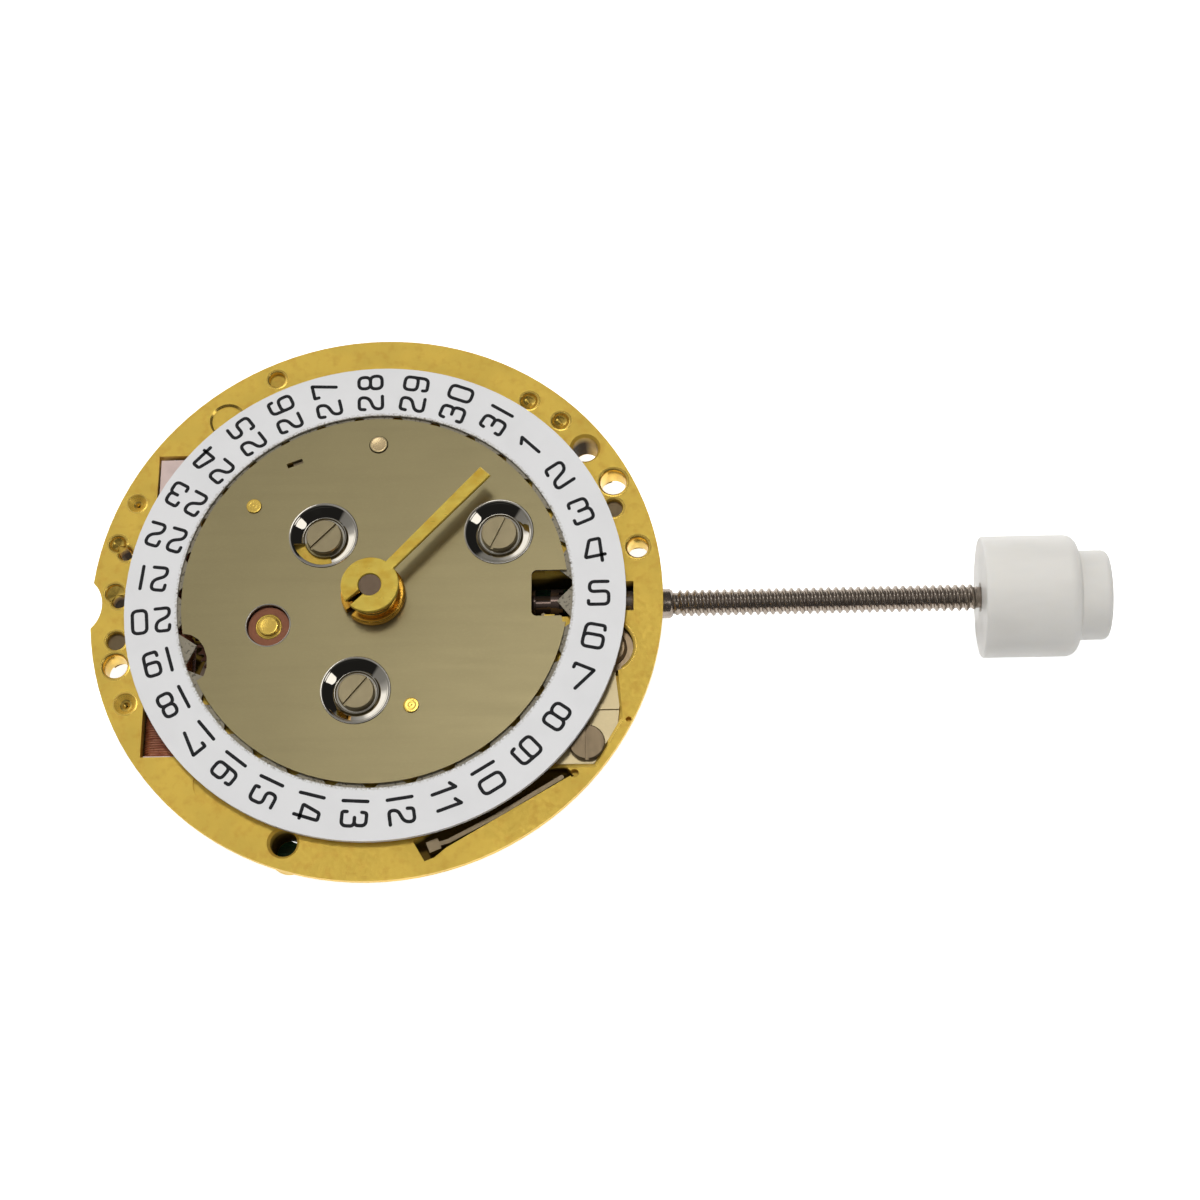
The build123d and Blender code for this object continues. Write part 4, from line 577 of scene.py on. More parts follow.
def turned_surface(
    name, profile, material, axis="Z", at=(0, 0, 0), steps=96, smooth_angle=35, start=0.0, sweep=360.0
):
    """Turns a profile of (radius, height) pairs, in millimetres, about an axis through at."""
    points, faces = [], []
    whole = sweep >= 360
    rows = steps if whole else steps + 1
    for row in range(rows):
        angle = math.radians(start + sweep * row / steps)
        for radius, height in profile:
            across, up = radius * math.cos(angle), radius * math.sin(angle)
            if axis == "Z":
                points.append((at[0] + across, at[1] + up, at[2] + height))
            else:
                points.append((at[0] + height, at[1] + across, at[2] + up))
    width = len(profile)
    for row in range(rows if whole else rows - 1):
        one, two = row * width, (row + 1) % rows * width
        for column in range(width - 1):
            faces.append((one + column, two + column, two + column + 1, one + column + 1))
    return new_piece(name, points, faces, material, smooth_angle)


def arc_profile(centre, radius, start, end, steps=6):
    """Points of an arc in a turning profile."""
    made = []
    for step in range(steps + 1):
        angle = math.radians(start + (end - start) * step / steps)
        made.append((centre[0] + radius * math.cos(angle), centre[1] + radius * math.sin(angle)))
    return made


def offset_points(start, offsets):
    """Points of a turning profile, given as how far out and up from a start they lie."""
    return [(start[0] + out, start[1] + up) for out, up in offsets]


# Sizes and places shared with the CAD source, in millimetres and degrees

PLATE_TOP = 0.52
DISC_TOP = 0.49
DISH_PLACES = ((-2.4, 3.0), (5.6, 3.0), (-0.7, -4.45))
DISH_RADIUS, DISH_SEAT, SEAT_TOP = 1.5, 0.9, 0.12
DISH_OPENING = (195, 288)
WINDOW_PLACE, WINDOW_RADIUS = (-4.75, -1.3, 0), 1.0
POST_PLACES, POST_TOP = ((-5.65, 4.5), (1.8, -5.2)), PLATE_TOP + 0.07
JUMPER_POST_PLACE = (0, 7.45, 0)
HAND_TOP, HAND_THICKNESS, HAND_ANGLE, HAND_SLIT_ANGLE = 2.0, 0.16, 46.6, 222
HAND_HUB, HAND_REACH, HAND_ROOT, HAND_TIP, HAND_SLIT, HAND_BORE = 1.3, 7.4, 0.5, 0.63, 0.26, 0.51
COLLET_LOW, COLLET_FOOT, COLLET_FOOT_HEIGHT, COLLET_NECK = 0.55, 1.45, 0.45, 1.02
STEM_Z = -1.2
THREAD_START, THREAD_PITCH, THREAD_TURNS = 13.4, 0.336, 41
THREAD_RADIUS, THREAD_ROOT, STEM_RADIUS, STEM_END = 0.61, 0.475, 0.675, 30.6
CROWN_START, CROWN_LENGTH, CROWN_RADIUS, CROWN_EDGE = 27.3, 4.3, 2.75, 0.6
CROWN_BOSS, CROWN_BOSS_END = 2.025, 33.0
COIL_X, COIL_LOW_Y, COIL_HIGH_Y, COIL_LOW_Z, COIL_HIGH_Z = -9.3, -7.09, 5.19, -1.78, -0.24

# The floor's height where the crown would touch it, and its tilt up to the movement's back
REST_X, REST_Z, REST_TILT = 29.45, -3.95, 2.29

# Each digit as lines in a box one wide and one high. The flag says that a line is closed, and the share says
# how much of the corner radius its corners take.
DIGIT_LINES = {
    "0": [([(0, 0), (1, 0), (1, 1), (0, 1)], True, 1.0)],
    "1": [([(0.5, 0), (0.5, 1)], False, 0)],
    "2": [([(1, 0), (0, 0), (0.04, 0.36), (0.94, 0.58), (1, 1), (0.06, 1), (0.02, 0.76)], False, 1.0)],
    "3": [
        ([(0.02, 0.8), (0.05, 1), (0.95, 1), (0.95, 0.53), (0.4, 0.52)], False, 0.9),
        ([(0.4, 0.52), (1, 0.52), (1, 0), (0, 0), (0, 0.2)], False, 0.9),
    ],
    "4": [([(0.8, 0), (0.88, 1), (0.36, 1), (0, 0.26), (1, 0.26)], False, 0.35)],
    "5": [([(0.96, 1), (0.06, 1), (0.04, 0.56), (1, 0.58), (1, 0), (0, 0), (0, 0.16)], False, 0.9)],
    "6": [
        ([(0, 0), (1, 0), (1, 0.56), (0, 0.56)], True, 0.9),
        ([(0, 0.3), (0.03, 1), (0.95, 1), (0.98, 0.82)], False, 1.0),
    ],
    "7": [([(0, 0.82), (0, 1), (1, 1), (0.5, 0)], False, 0.12)],
    "8": [
        ([(0, 0), (1, 0), (1, 0.5), (0, 0.5)], True, 1.0),
        ([(0.05, 0.5), (0.95, 0.5), (0.95, 1), (0.05, 1)], True, 1.0),
    ],
    "9": [
        ([(0, 0.44), (1, 0.44), (1, 1), (0, 1)], True, 0.9),
        ([(1, 0.7), (0.97, 0), (0.05, 0), (0.02, 0.18)], False, 1.0),
    ],
}
FLAGGED_NUMERALS = (1, 11)
DAY_AT_STEM = 5
DISC_TURN = -0.3

# Widths that a one needs round it, in millimetres, and how far each further line of a digit is lifted
FLAG_SPAN, GAP_BY_ONE, GAP_OF_ELEVEN = 0.16, 0.08, 0.62
LINE_LIFT = 0.0008
ONE_WITH_FLAG = [([(0.5, 0), (0.5, 1)], False, 0), ([(0.5, 1), (-1.1, 0.82)], False, 0)]


# Parts that get a finer piece of their own
REPLACED = {"coil_winding", "crown", "hand_collet", "minute_hand", "stem"}


class MOVEMENT_OT_finishes(Operator):
    """Gives each CAD part that stays in view its own metal, plastic or lacquer"""

    bl_idname = "movement.finishes"
    bl_label = "Finish the parts"

    def execute(self, context):
        colours = context.scene.movement_colours
        worn = {
            gilt_finish(colours): ("main_plate",),
            brass_finish("stud_brass", colours.gilding): (
                "calendar_posts", "minute_wheel_stud", "setting_wheel_stud", "date_wheel_stud", "centre_bush",
            ),
            steel_finish("plug_grey", colours.plug_grey, 0.36): ("rim_pins",),
            steel_finish("dial_screw_steel", colours.dial_screw, 0.32, 0.8, 0.3): ("calendar_plate_screws",),
            steel_finish("jumper_screw_steel", colours.jumper_screw, 0.32, 0.8): (
                "setting_lever_jumper_screw",
            ),
            steel_finish("arbor_end_steel", colours.arbor_end, 0.32): ("cannon_pinion",),
            champagne_finish("champagne_nickel", colours.champagne): (
                "calendar_plate", "train_bridge", "date_jumper_post",
            ),
            champagne_finish("spring_plate_nickel", colours.spring_plate): ("setting_lever_jumper",),
            steel_finish("screw_steel", colours.steel, 0.32): (
                "train_bridge_screws", "circuit_screws", "battery_clamp_screw", "stator_screws",
                "dial_foot_keepers", "lever_studs", "battery", "quartz_crystal", "rotor",
            ),
            steel_finish("spring_steel", colours.spring_steel, 0.32, 0.6): (
                "date_jumper", "yoke_spring", "yoke", "battery_clamp", "battery_contact",
            ),
            steel_finish("lever_steel", colours.lever_steel, 0.32): ("setting_lever",),
            # Darker steel: painted shade for the sliding pinion deep in the right notch
            steel_finish("sliding_pinion_steel", colours.pinion_steel, 0.14): ("sliding_pinion",),
            brass_finish("wheel_brass", colours.wheel_brass): (
                "hour_wheel", "minute_wheel", "setting_wheel", "centre_wheel", "third_wheel",
                "fourth_wheel", "fifth_wheel",
            ),
            rose_finish(colours): ("date_driving_wheel", "date_finger"),
            steel_finish("motor_iron", colours.motor_iron, 0.42): ("stator", "coil_core"),
            disc_finish(colours): ("date_disc",),
            plastic_finish("terminal_plastic", colours.terminal_white): ("coil_bobbin",),
            plastic_finish("black_plastic", colours.black_plastic): ("battery_insulator", "circuit_chip"),
            board_finish(colours): ("circuit_board",),
            jewel_finish(colours): ("train_jewels",),
        }
        for material, names in worn.items():
            for name in names:
                for part_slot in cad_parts[name].material_slots:
                    part_slot.material = material
        finished = {name for names in worn.values() for name in names}
        bare = sorted(set(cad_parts) - finished - REPLACED)
        if bare:
            raise RuntimeError("These parts have no finish: " + ", ".join(bare))
        return {"FINISHED"}


def print_digit(lines, size, corner, stroke, heights, place, points, faces):
    """Adds one digit's lines. place puts a flat point of the digit on the disc."""
    low, high = heights
    for index, (line, closed, share) in enumerate(lines):
        path = rounded_path([(x * size[0], y * size[1]) for x, y in line], corner * share, closed)
        printed_line(path, closed, stroke, low, high + index * LINE_LIFT, place, points, faces)


def digit_place(start, angle, size):
    """A function that puts a digit's flat points on the disc at this angle, from this radius outwards."""
    outward = Vector(polar(1, angle))
    upward = Vector((-outward.y, outward.x))

    def place(point):
        spot = outward * (start + point.x) + upward * (point.y - size[1] / 2)
        return spot.x, spot.y

    return place


class MOVEMENT_OT_numerals(Operator):
    """Prints the days on the date disc, each reading outwards from the middle"""

    bl_idname = "movement.numerals"
    bl_label = "Print the numerals"

    def execute(self, context):
        sizes = context.scene.movement_sizes
        stroke = sizes.numeral_stroke / MM
        tall = sizes.numeral_height / MM - stroke
        corner = sizes.numeral_corner / MM
        heights = (DISC_TOP, DISC_TOP + sizes.ink_thickness / MM)
        points, faces = [], []
        for day in range(1, sizes.numerals + 1):
            angle = DISC_TURN - (day - DAY_AT_STEM) * 360 / sizes.numerals
            digits = str(day)
            full = sizes.numeral_width if len(digits) > 1 else sizes.single_width
            widths = [stroke if digit == "1" else full / MM for digit in digits]
            gap = sizes.numeral_gap / MM + (GAP_BY_ONE if "1" in digits else 0)
            if day == 11:
                gap = GAP_OF_ELEVEN
            start = sizes.numeral_radius / MM - (sum(widths) + gap * (len(digits) - 1)) / 2
            for digit, wide in zip(digits, widths):
                flagged = digit == "1" and day in FLAGGED_NUMERALS
                lines = ONE_WITH_FLAG if flagged else DIGIT_LINES[digit]
                size = (FLAG_SPAN if digit == "1" else wide - stroke, tall)
                first = start + stroke / 2 - (FLAG_SPAN / 2 if digit == "1" else 0)
                place = digit_place(first, angle, size)
                print_digit(lines, size, corner, stroke, heights, place, points, faces)
                start += wide + gap
        numerals = new_piece("date_numerals", points, faces, ink_finish(context.scene.movement_colours))
        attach(numerals, "date_ring")
        return {"FINISHED"}


# The dishes' polished skin: how far it stands off the plate, and its points as offsets from lip and seat
DISH_SKIN, LIP_RISE = 0.012, 0.02
LIP_FALL, BRIM, SLOPE_TOP = (0, -0.01), (0, -0.05), (-0.03, -0.065)
SLOPE_FOOT, FOOT_CENTRE, FOOT_ROUND = ((0.26, 0.195), (0.1, 0.115)), (0.08, 0.07), 0.04
SEAT_EDGE = ((0.03, DISH_SKIN), (-0.06, DISH_SKIN))


def dish_profiles(lip):
    """The rolled lip of a dish and its slope down to the seat."""
    top = PLATE_TOP + DISH_SKIN
    outer = DISH_RADIUS + lip
    inner = (DISH_RADIUS - lip, top)
    seat = (DISH_SEAT, SEAT_TOP)
    rim = [(outer, PLATE_TOP - DISH_SKIN)]
    rim += arc_profile((outer - lip / 2, top - lip / 2 + LIP_RISE), lip / 2, 0, 90, 4)
    rim += offset_points((DISH_RADIUS - lip / 2, top), (LIP_FALL,))
    rim += offset_points(inner, (BRIM,))
    slope = offset_points(inner, (BRIM, SLOPE_TOP))
    slope += offset_points(seat, SLOPE_FOOT)
    slope += arc_profile(offset_points(seat, (FOOT_CENTRE,))[0], FOOT_ROUND, 70, 180, 5)
    slope += offset_points(seat, SEAT_EDGE)
    return rim, slope


class MOVEMENT_OT_dishes(Operator):
    """Polishes the three pressed dishes of the calendar plate, with a rolled lip round each"""

    bl_idname = "movement.dishes"
    bl_label = "Polish the dishes"

    def execute(self, context):
        polish = steel_finish("dish_polish", context.scene.movement_colours.steel, 0.045, spots=0.15)
        polish.node_tree.nodes["Principled BSDF"].inputs["Metallic"].default_value = 1
        rim, slope = dish_profiles(context.scene.movement_sizes.dish_lip / MM)
        for index, (x, y) in enumerate(DISH_PLACES):
            first, last = DISH_OPENING if index == 0 else (0, 0)
            parts = [
                turned_surface(f"dish_lip_{index}", rim, polish, at=(x, y, 0), smooth_angle=70),
                turned_surface(
                    f"dish_slope_{index}", slope, polish, at=(x, y, 0), smooth_angle=70,
                    start=last, sweep=360 - (last - first),
                ),
            ]
            for part in parts:
                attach(part, "movement")
        return {"FINISHED"}


# Turned mouths of the rim's holes: x, y, hole radius, depth of the wall, start and sweep of the turning
BLIND, THROUGH, SHALLOW, SHORT = 0.29, 1.3, 0.24, 0.28
MOUTHS = (
    (-11.967, 3.002, 0.36, BLIND, -8, 276),
    (-11.564, 2.518, 0.32, THROUGH, 177, 266),
    (-11.942, 0.598, 0.4, BLIND, -8, 252),
    (-11.731, 0.204, 0.32, THROUGH, 190, 216),
    (-11.738, -1.725, 0.41, SHALLOW, 0, 360),
    (-11.701, -2.92, 0.55, THROUGH, 0, 360),
    (6.902, 9.758, 0.37, BLIND, 0, 360),
    (8.367, 8.698, 0.37, BLIND, 0, 360),
    (10.79, 5.563, 0.6, THROUGH, 0, 360),
    (10.782, 4.272, 0.41, SHALLOW, 0, 360),
    (11.879, 2.33, 0.48, THROUGH, 0, 360),
    (-4.97, 11.17, 0.37, SHORT, 0, 360),
)

# The mouths' skin stands this far off the rim, and its outer edge fades into the rim
MOUTH_SKIN, MOUTH_FADE, MOUTH_FLARE = 0.008, 0.0024, 0.05
BEVEL, BEVEL_FOOT = 0.09, 0.02
DRILL_WALL, DRILL_SHARE, DRILL_CONE, DRILL_TIP = -0.14, 0.5, -0.21, 0.02

# Ridged countersinks: x, y, outer radius, inner radius
COUNTERSINKS = ((-11.197, 4.993, 0.429, 0.17), (-11.127, -4.728, 0.5, 0.24))
SINK_FLARE, SINK_RIDGES, SINK_DEPTH = 0.06, 4, 0.25
SINK_RIDGE = ((-0.012, -0.03), (-0.03, -0.035))
SINK_WELL = ((1.0, -0.24), (0.7, -0.26), (0.6, -0.34))
SINK_TIP = (0.05, -0.4)

# Bright edges round the setting lever's boss, the shallow recess at 11 o'clock and the spring plate's recess
LEVER_PLACE, LEVER_MOUTH = (10.5, -2.4, 0), ((1.3, MOUTH_FADE), (1.27, MOUTH_SKIN), (1.14, -0.055))
LEVER_START, LEVER_SWEEP = -60, 140
SHALLOW_PLACE, SHALLOW_MOUTH = (-7.2, 9.1, 0), ((0.855, MOUTH_FADE), (0.84, MOUTH_SKIN), (0.74, -0.06))
RECESS_INNER = ((11.05, -5.8), (10.0, -7.61), (9.88, -7.87), (7.995, -7.87))
RECESS_OUTER = ((11.19, -5.87), (10.13, -7.69), (9.97, -8.03), (7.995, -8.03))
RECESS_EDGE_LOW = -0.06


def mouth_profile(radius, wall):
    """A rounded mouth, then a drill's point in a blind hole or a straight wall in any other."""
    brim = radius + BEVEL
    profile = [(brim + MOUTH_FLARE, MOUTH_FADE), (brim, MOUTH_SKIN)]
    profile += arc_profile((brim, -BEVEL), BEVEL, 90, 180, 5)
    if wall == BLIND:
        profile += [(radius - MOUTH_SKIN, DRILL_WALL), (radius * DRILL_SHARE, DRILL_CONE)]
        return profile + [(DRILL_TIP, -wall)]
    return profile + [(radius - MOUTH_SKIN, -BEVEL - BEVEL_FOOT), (radius - MOUTH_SKIN, -wall)]


def countersink_profile(radius, inner):
    """A countersink with the ridges a blunt cutter leaves."""
    profile = [(radius + SINK_FLARE, MOUTH_FADE), (radius, MOUTH_SKIN)]
    for ridge in range(SINK_RIDGES):
        share = ridge / SINK_RIDGES
        crest = (radius - (radius - inner) * share, MOUTH_SKIN - SINK_DEPTH * share)
        profile += offset_points(crest, SINK_RIDGE)
    profile += [(inner * share, height) for share, height in SINK_WELL]
    return profile + [SINK_TIP]


class MOVEMENT_OT_mouths(Operator):
    """Turns bright bevels and countersinks at the mouths of the rim's holes"""

    bl_idname = "movement.mouths"
    bl_label = "Turn the hole mouths"

    def execute(self, context):
        polish = brass_finish("polished_gilt", context.scene.movement_colours.polished_gilt, 0.2)
        rings = []
        for index, (x, y, radius, wall, start, sweep) in enumerate(MOUTHS):
            rings.append(turned_surface(
                f"hole_mouth_{index}", mouth_profile(radius, wall), polish, at=(x, y, 0), steps=48,
                smooth_angle=60, start=start, sweep=sweep,
            ))
        for index, (x, y, radius, inner) in enumerate(COUNTERSINKS):
            rings.append(turned_surface(
                f"countersink_{index}", countersink_profile(radius, inner), polish, at=(x, y, 0), steps=48,
                smooth_angle=40,
            ))
        rings.append(turned_surface(
            "lever_mouth", LEVER_MOUTH, polish, at=LEVER_PLACE, steps=48, smooth_angle=40,
            start=LEVER_START, sweep=LEVER_SWEEP,
        ))
        rings.append(turned_surface(
            "shallow_mouth", SHALLOW_MOUTH, polish, at=SHALLOW_PLACE, steps=64, smooth_angle=40,
        ))
        points = [(x, y, RECESS_EDGE_LOW) for x, y in RECESS_INNER]
        points += [(x, y, MOUTH_SKIN) for x, y in RECESS_OUTER]
        count = len(RECESS_INNER)
        faces = [(step, step + 1, step + 1 + count, step + count) for step in range(count - 1)]
        rings.append(new_piece("recess_edge", points, faces, polish, 60))
        for ring in rings:
            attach(ring, "movement")
        return {"FINISHED"}


# Profiles of the small turned parts on the calendar plate: radius and height
STUD_HEAD, STUD_FLANGE = 0.474, 0.302
STUD_CAP = [(0.452, STUD_FLANGE + 0.03), (0.456, STUD_HEAD - 0.06)]
STUD_CAP += arc_profile((0.41, STUD_HEAD - 0.045), 0.047, 0, 80, 5)
STUD_CAP += [(0.37, STUD_HEAD + 0.004), (0.34, STUD_HEAD + 0.002), (0, STUD_HEAD + 0.002)]
STUD_COLLAR = offset_points(
    (0, STUD_FLANGE), ((0.6, 0), (0.58, 0.022), (0.54, 0.03), (0.5, 0.01), (0.46, 0.02)),
)
WINDOW_EDGE = offset_points((WINDOW_RADIUS, PLATE_TOP), ((0.03, 0.003), (0, 0.01)))
WINDOW_EDGE += arc_profile((WINDOW_RADIUS, PLATE_TOP - 0.025), 0.034, 80, 180, 5)
WINDOW_EDGE += offset_points((WINDOW_RADIUS, PLATE_TOP), ((-0.034, -0.1),))
POST_CAP = offset_points((0, POST_TOP), (
    (0.342, -0.05), (0.345, -0.02), (0.325, 0.004), (0.27, 0.008),
    (0.2, 0.006), (0.16, 0.002), (0.12, 0.006), (0.05, 0.007), (0, 0.002),
))
JUMPER_POST_CAP = offset_points(
    (0, POST_TOP), ((0.375, -0.02), (0.365, 0.002), (0.33, 0.006), (0.3, 0.002), (0, 0.002)),
)
# Painted shade: a dark ring laid on the plate round the jumper post, where the gap between them is
JUMPER_POST_SHADE_RING = offset_points((0, PLATE_TOP), ((0.44, 0.004), (0.405, 0.006)))


class MOVEMENT_OT_window(Operator):
    """Turns the caps of the date wheel's stud and the three posts, the bright edge of the round window, and a
    ring of painted shade round the jumper post
    """

    bl_idname = "movement.window"
    bl_label = "Turn the window's parts"

    def execute(self, context):
        colours = context.scene.movement_colours
        gilt = brass_finish("stud_polish", colours.polished_gilt, 0.14)
        steel = steel_finish("window_edge_polish", colours.steel, 0.06, spots=0.15)
        gilded = [
            turned_surface("date_stud_cap", STUD_CAP, gilt, at=WINDOW_PLACE, smooth_angle=60),
            turned_surface("date_stud_collar", STUD_COLLAR, gilt, at=WINDOW_PLACE, smooth_angle=40),
        ]
        edge = turned_surface("window_edge", WINDOW_EDGE, steel, at=WINDOW_PLACE, smooth_angle=60)
        for index, (x, y) in enumerate(POST_PLACES):
            gilded.append(turned_surface(f"post_cap_{index}", POST_CAP, gilt, at=(x, y, 0), smooth_angle=25))
        cream = brass_finish("cream_gilding", colours.post_cream, 0.2)
        gilded.append(turned_surface(
            "jumper_post_cap", JUMPER_POST_CAP, cream, at=JUMPER_POST_PLACE, smooth_angle=25,
        ))
        # Painted shade for the gap round the jumper post
        shadow = brass_finish("painted_gap_shade", colours.gilt_shadow, 0.6)
        gap = turned_surface(
            "jumper_post_shade_ring", JUMPER_POST_SHADE_RING, shadow, at=JUMPER_POST_PLACE, smooth_angle=25,
        )
        for part in gilded:
            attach(part, "movement")
        for part in (edge, gap):
            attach(part, "movement")
        return {"FINISHED"}


def arc_points(radius, start, end, steps=40):
    """Points along a circle about the hand's axis."""
    return [polar(radius, start + (end - start) * step / steps) for step in range(steps + 1)]


def hand_outline(inset):
    """The hand seen from above as one closed line, from one side of the slit round to the other."""
    half_slit = HAND_SLIT / 2 + inset
    hub = HAND_HUB - inset
    root, tip, reach = HAND_ROOT / 2 - inset, HAND_TIP / 2 - inset, HAND_REACH - inset
    bore = HAND_BORE + inset
    gape = math.degrees(math.asin(half_slit / hub))
    blade_half = math.degrees(math.asin(root / hub))
    inner_gape = math.degrees(math.asin(half_slit / bore))
    line = arc_points(hub, HAND_SLIT_ANGLE + gape, HAND_ANGLE + 360 - blade_half)
    along = Vector(polar(1, HAND_ANGLE))
    across = Vector((-along.y, along.x))
    for side in (-tip, tip):
        line.append(tuple(along * reach + across * side))
    line += arc_points(hub, HAND_ANGLE + blade_half, HAND_SLIT_ANGLE - gape)
    line += arc_points(bore, HAND_SLIT_ANGLE - inner_gape, HAND_SLIT_ANGLE - 360 + inner_gape)
    return line


class MOVEMENT_OT_hand(Operator):
    """Makes the gilded minute hand with its bevelled edge and split hub"""

    bl_idname = "movement.hand"
    bl_label = "Make the hand"

    def execute(self, context):
        edge = context.scene.movement_sizes.hand_edge / MM
        colours = context.scene.movement_colours
        low = HAND_TOP - HAND_THICKNESS
        points = []
        layers = ((0, low), (0, HAND_TOP - edge), (edge, HAND_TOP))
        for inset, height in layers:
            points += [(x, y, height) for x, y in hand_outline(inset)]
        count = len(points) // len(layers)
        faces = ring_faces(len(layers), count)
        faces.append(tuple(range(count * (len(layers) - 1), count * len(layers))))
        faces.append(tuple(reversed(range(count))))
        hand = new_piece("gilt_hand", points, faces, hand_finish(colours))
        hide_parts("minute_hand")
        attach(hand, "hand")
        return {"FINISHED"}


# The collet's turned form: its bottom and bore, the groove round its foot, its two coves and its collar
COLLET_BOTTOM, COLLET_BORE_LOW, COLLET_SOFT = 0.8, 1.1, 0.08
FOOT_GROOVE = ((0, -0.26), (-0.05, -0.24), (-0.05, -0.2))
COVE_OUT, COVE_ROUND, COVE_START, LOW_COVE, HIGH_COVE = 0.14, 0.14, (0.14, 0.01), 0.15, 0.38
COLLAR_FOOT, COLLAR_CENTRE, COLLAR_ROUND, COLLAR_TOP = (-0.1, -0.17), (-0.12, -0.08), 0.06, (-0.1, 0)


def collet_profile():
    """The collet from the rim of its foot up its waist and collar, and down the bore."""
    foot = (COLLET_FOOT, COLLET_LOW + COLLET_FOOT_HEIGHT)
    neck = (COLLET_NECK, foot[1])
    head = (HAND_HUB, HAND_TOP - HAND_THICKNESS)
    profile = [(COLLET_BOTTOM, COLLET_LOW)]
    profile += arc_profile((COLLET_FOOT - COLLET_SOFT, COLLET_LOW + COLLET_SOFT), COLLET_SOFT, -90, 0, 4)
    profile += offset_points(foot, FOOT_GROOVE)
    profile += arc_profile((foot[0] - COLLET_SOFT, foot[1] - COLLET_SOFT), COLLET_SOFT, 0, 90, 5)
    profile += offset_points(neck, (COVE_START,))
    profile += arc_profile((neck[0] + COVE_OUT, neck[1] + LOW_COVE), COVE_ROUND, 270, 180, 6)
    profile += arc_profile((neck[0] + COVE_OUT, neck[1] + HIGH_COVE), COVE_ROUND, 180, 100, 6)
    profile += offset_points(head, (COLLAR_FOOT,))
    profile += arc_profile(offset_points(head, (COLLAR_CENTRE,))[0], COLLAR_ROUND, -60, 60, 5)
    profile += offset_points(head, (COLLAR_TOP,))
    return profile + [(HAND_BORE, head[1]), (HAND_BORE, COLLET_BORE_LOW)]


class MOVEMENT_OT_collet(Operator):
    """Turns the split collar under the hand"""

    bl_idname = "movement.collet"
    bl_label = "Turn the collar"

    def execute(self, context):
        gape = math.degrees(math.asin(HAND_SLIT / 2 / COLLET_NECK))
        collar = turned_surface(
            "split_collar", collet_profile(), collet_finish(context.scene.movement_colours),
            start=HAND_SLIT_ANGLE + gape, sweep=360 - 2 * gape, smooth_angle=50,
        )
        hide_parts("hand_collet")
        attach(collar, "hand")
        return {"FINISHED"}


# The stem's plain lengths: place along the stem and radius. SQUARE stands for the square end.
SQUARE, SQUARE_HALF = None, 0.25
PLAIN_LENGTHS = (
    (5.6, 0.0), (5.6, 0.16), (5.64, 0.2), (6.4, 0.2),
    (6.4, SQUARE), (9.35, SQUARE),
    (9.35, STEM_RADIUS), (9.62, STEM_RADIUS), (9.62, 0.3), (10.08, 0.3),
    (10.08, STEM_RADIUS - 0.04), (10.12, STEM_RADIUS),
    (THREAD_START - 0.12, STEM_RADIUS), (THREAD_START, STEM_RADIUS - 0.08),
)
STEM_COLUMNS, THREAD_ROWS, THREAD_FADE, THREAD_RUN_OUT = 48, 8, 0.01, 0.02


def thread_radii(x, thread_end):
    """The radii round the stem at one place along its helical thread, which fades in and out at its ends."""
    into = (x - THREAD_START) / THREAD_PITCH
    fade = min(1.0, into, (thread_end - x) / THREAD_PITCH + THREAD_FADE)
    radii = []
    for column in range(STEM_COLUMNS):
        phase = (into - column / STEM_COLUMNS) % 1.0
        wave = 0.5 + 0.5 * math.cos(FULL_TURN * phase)
        wave = wave * wave * (3 - 2 * wave)
        radii.append(THREAD_ROOT + (THREAD_RADIUS - THREAD_ROOT) * wave * fade)
    return radii


def stem_rows():
    """Each place along the stem with the radii round it there."""
    rows = [(x, [radius] * STEM_COLUMNS) for x, radius in PLAIN_LENGTHS]
    thread_end = THREAD_START + THREAD_TURNS * THREAD_PITCH
    count = THREAD_TURNS * THREAD_ROWS
    for step in range(1, count + 1):
        x = THREAD_START + (thread_end - THREAD_START) * step / count
        rows.append((x, thread_radii(x, thread_end)))
    rows.append((thread_end + THREAD_RUN_OUT, [THREAD_ROOT] * STEM_COLUMNS))
    rows.append((STEM_END, [THREAD_ROOT] * STEM_COLUMNS))
    rows.append((STEM_END, [0.0] * STEM_COLUMNS))
    return rows


class MOVEMENT_OT_stem(Operator):
    """Cuts the stem with its square, groove, shoulder and one long helical thread"""

    bl_idname = "movement.stem"
    bl_label = "Cut the stem"

    def execute(self, context):
        rows = stem_rows()
        points = []
        for x, radii in rows:
            for column, radius in enumerate(radii):
                angle = FULL_TURN * column / STEM_COLUMNS
                if radius is SQUARE:
                    radius = SQUARE_HALF / max(abs(math.cos(angle)), abs(math.sin(angle)))
                points.append((x, radius * math.cos(angle), STEM_Z + radius * math.sin(angle)))
        faces = ring_faces(len(rows), STEM_COLUMNS)
        steel = steel_finish("stem_steel", context.scene.movement_colours.stem_steel, 0.2, spots=0.8)
        stem = new_piece("threaded_stem", points, faces, steel, 40)
        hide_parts("stem")
        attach(stem, "stem_group")
        return {"FINISHED"}


# The crown's stem hole, the neck below its boss and the shallow cone of its end
CROWN_HOLE, HOLE_DEPTH, HOLE_EDGE = THREAD_RADIUS + 0.02, 0.9, 0.06
BOSS_NECK, NECK_SHARE = 0.1, 0.3
END_SHARE, END_FALL = 0.5, 0.002


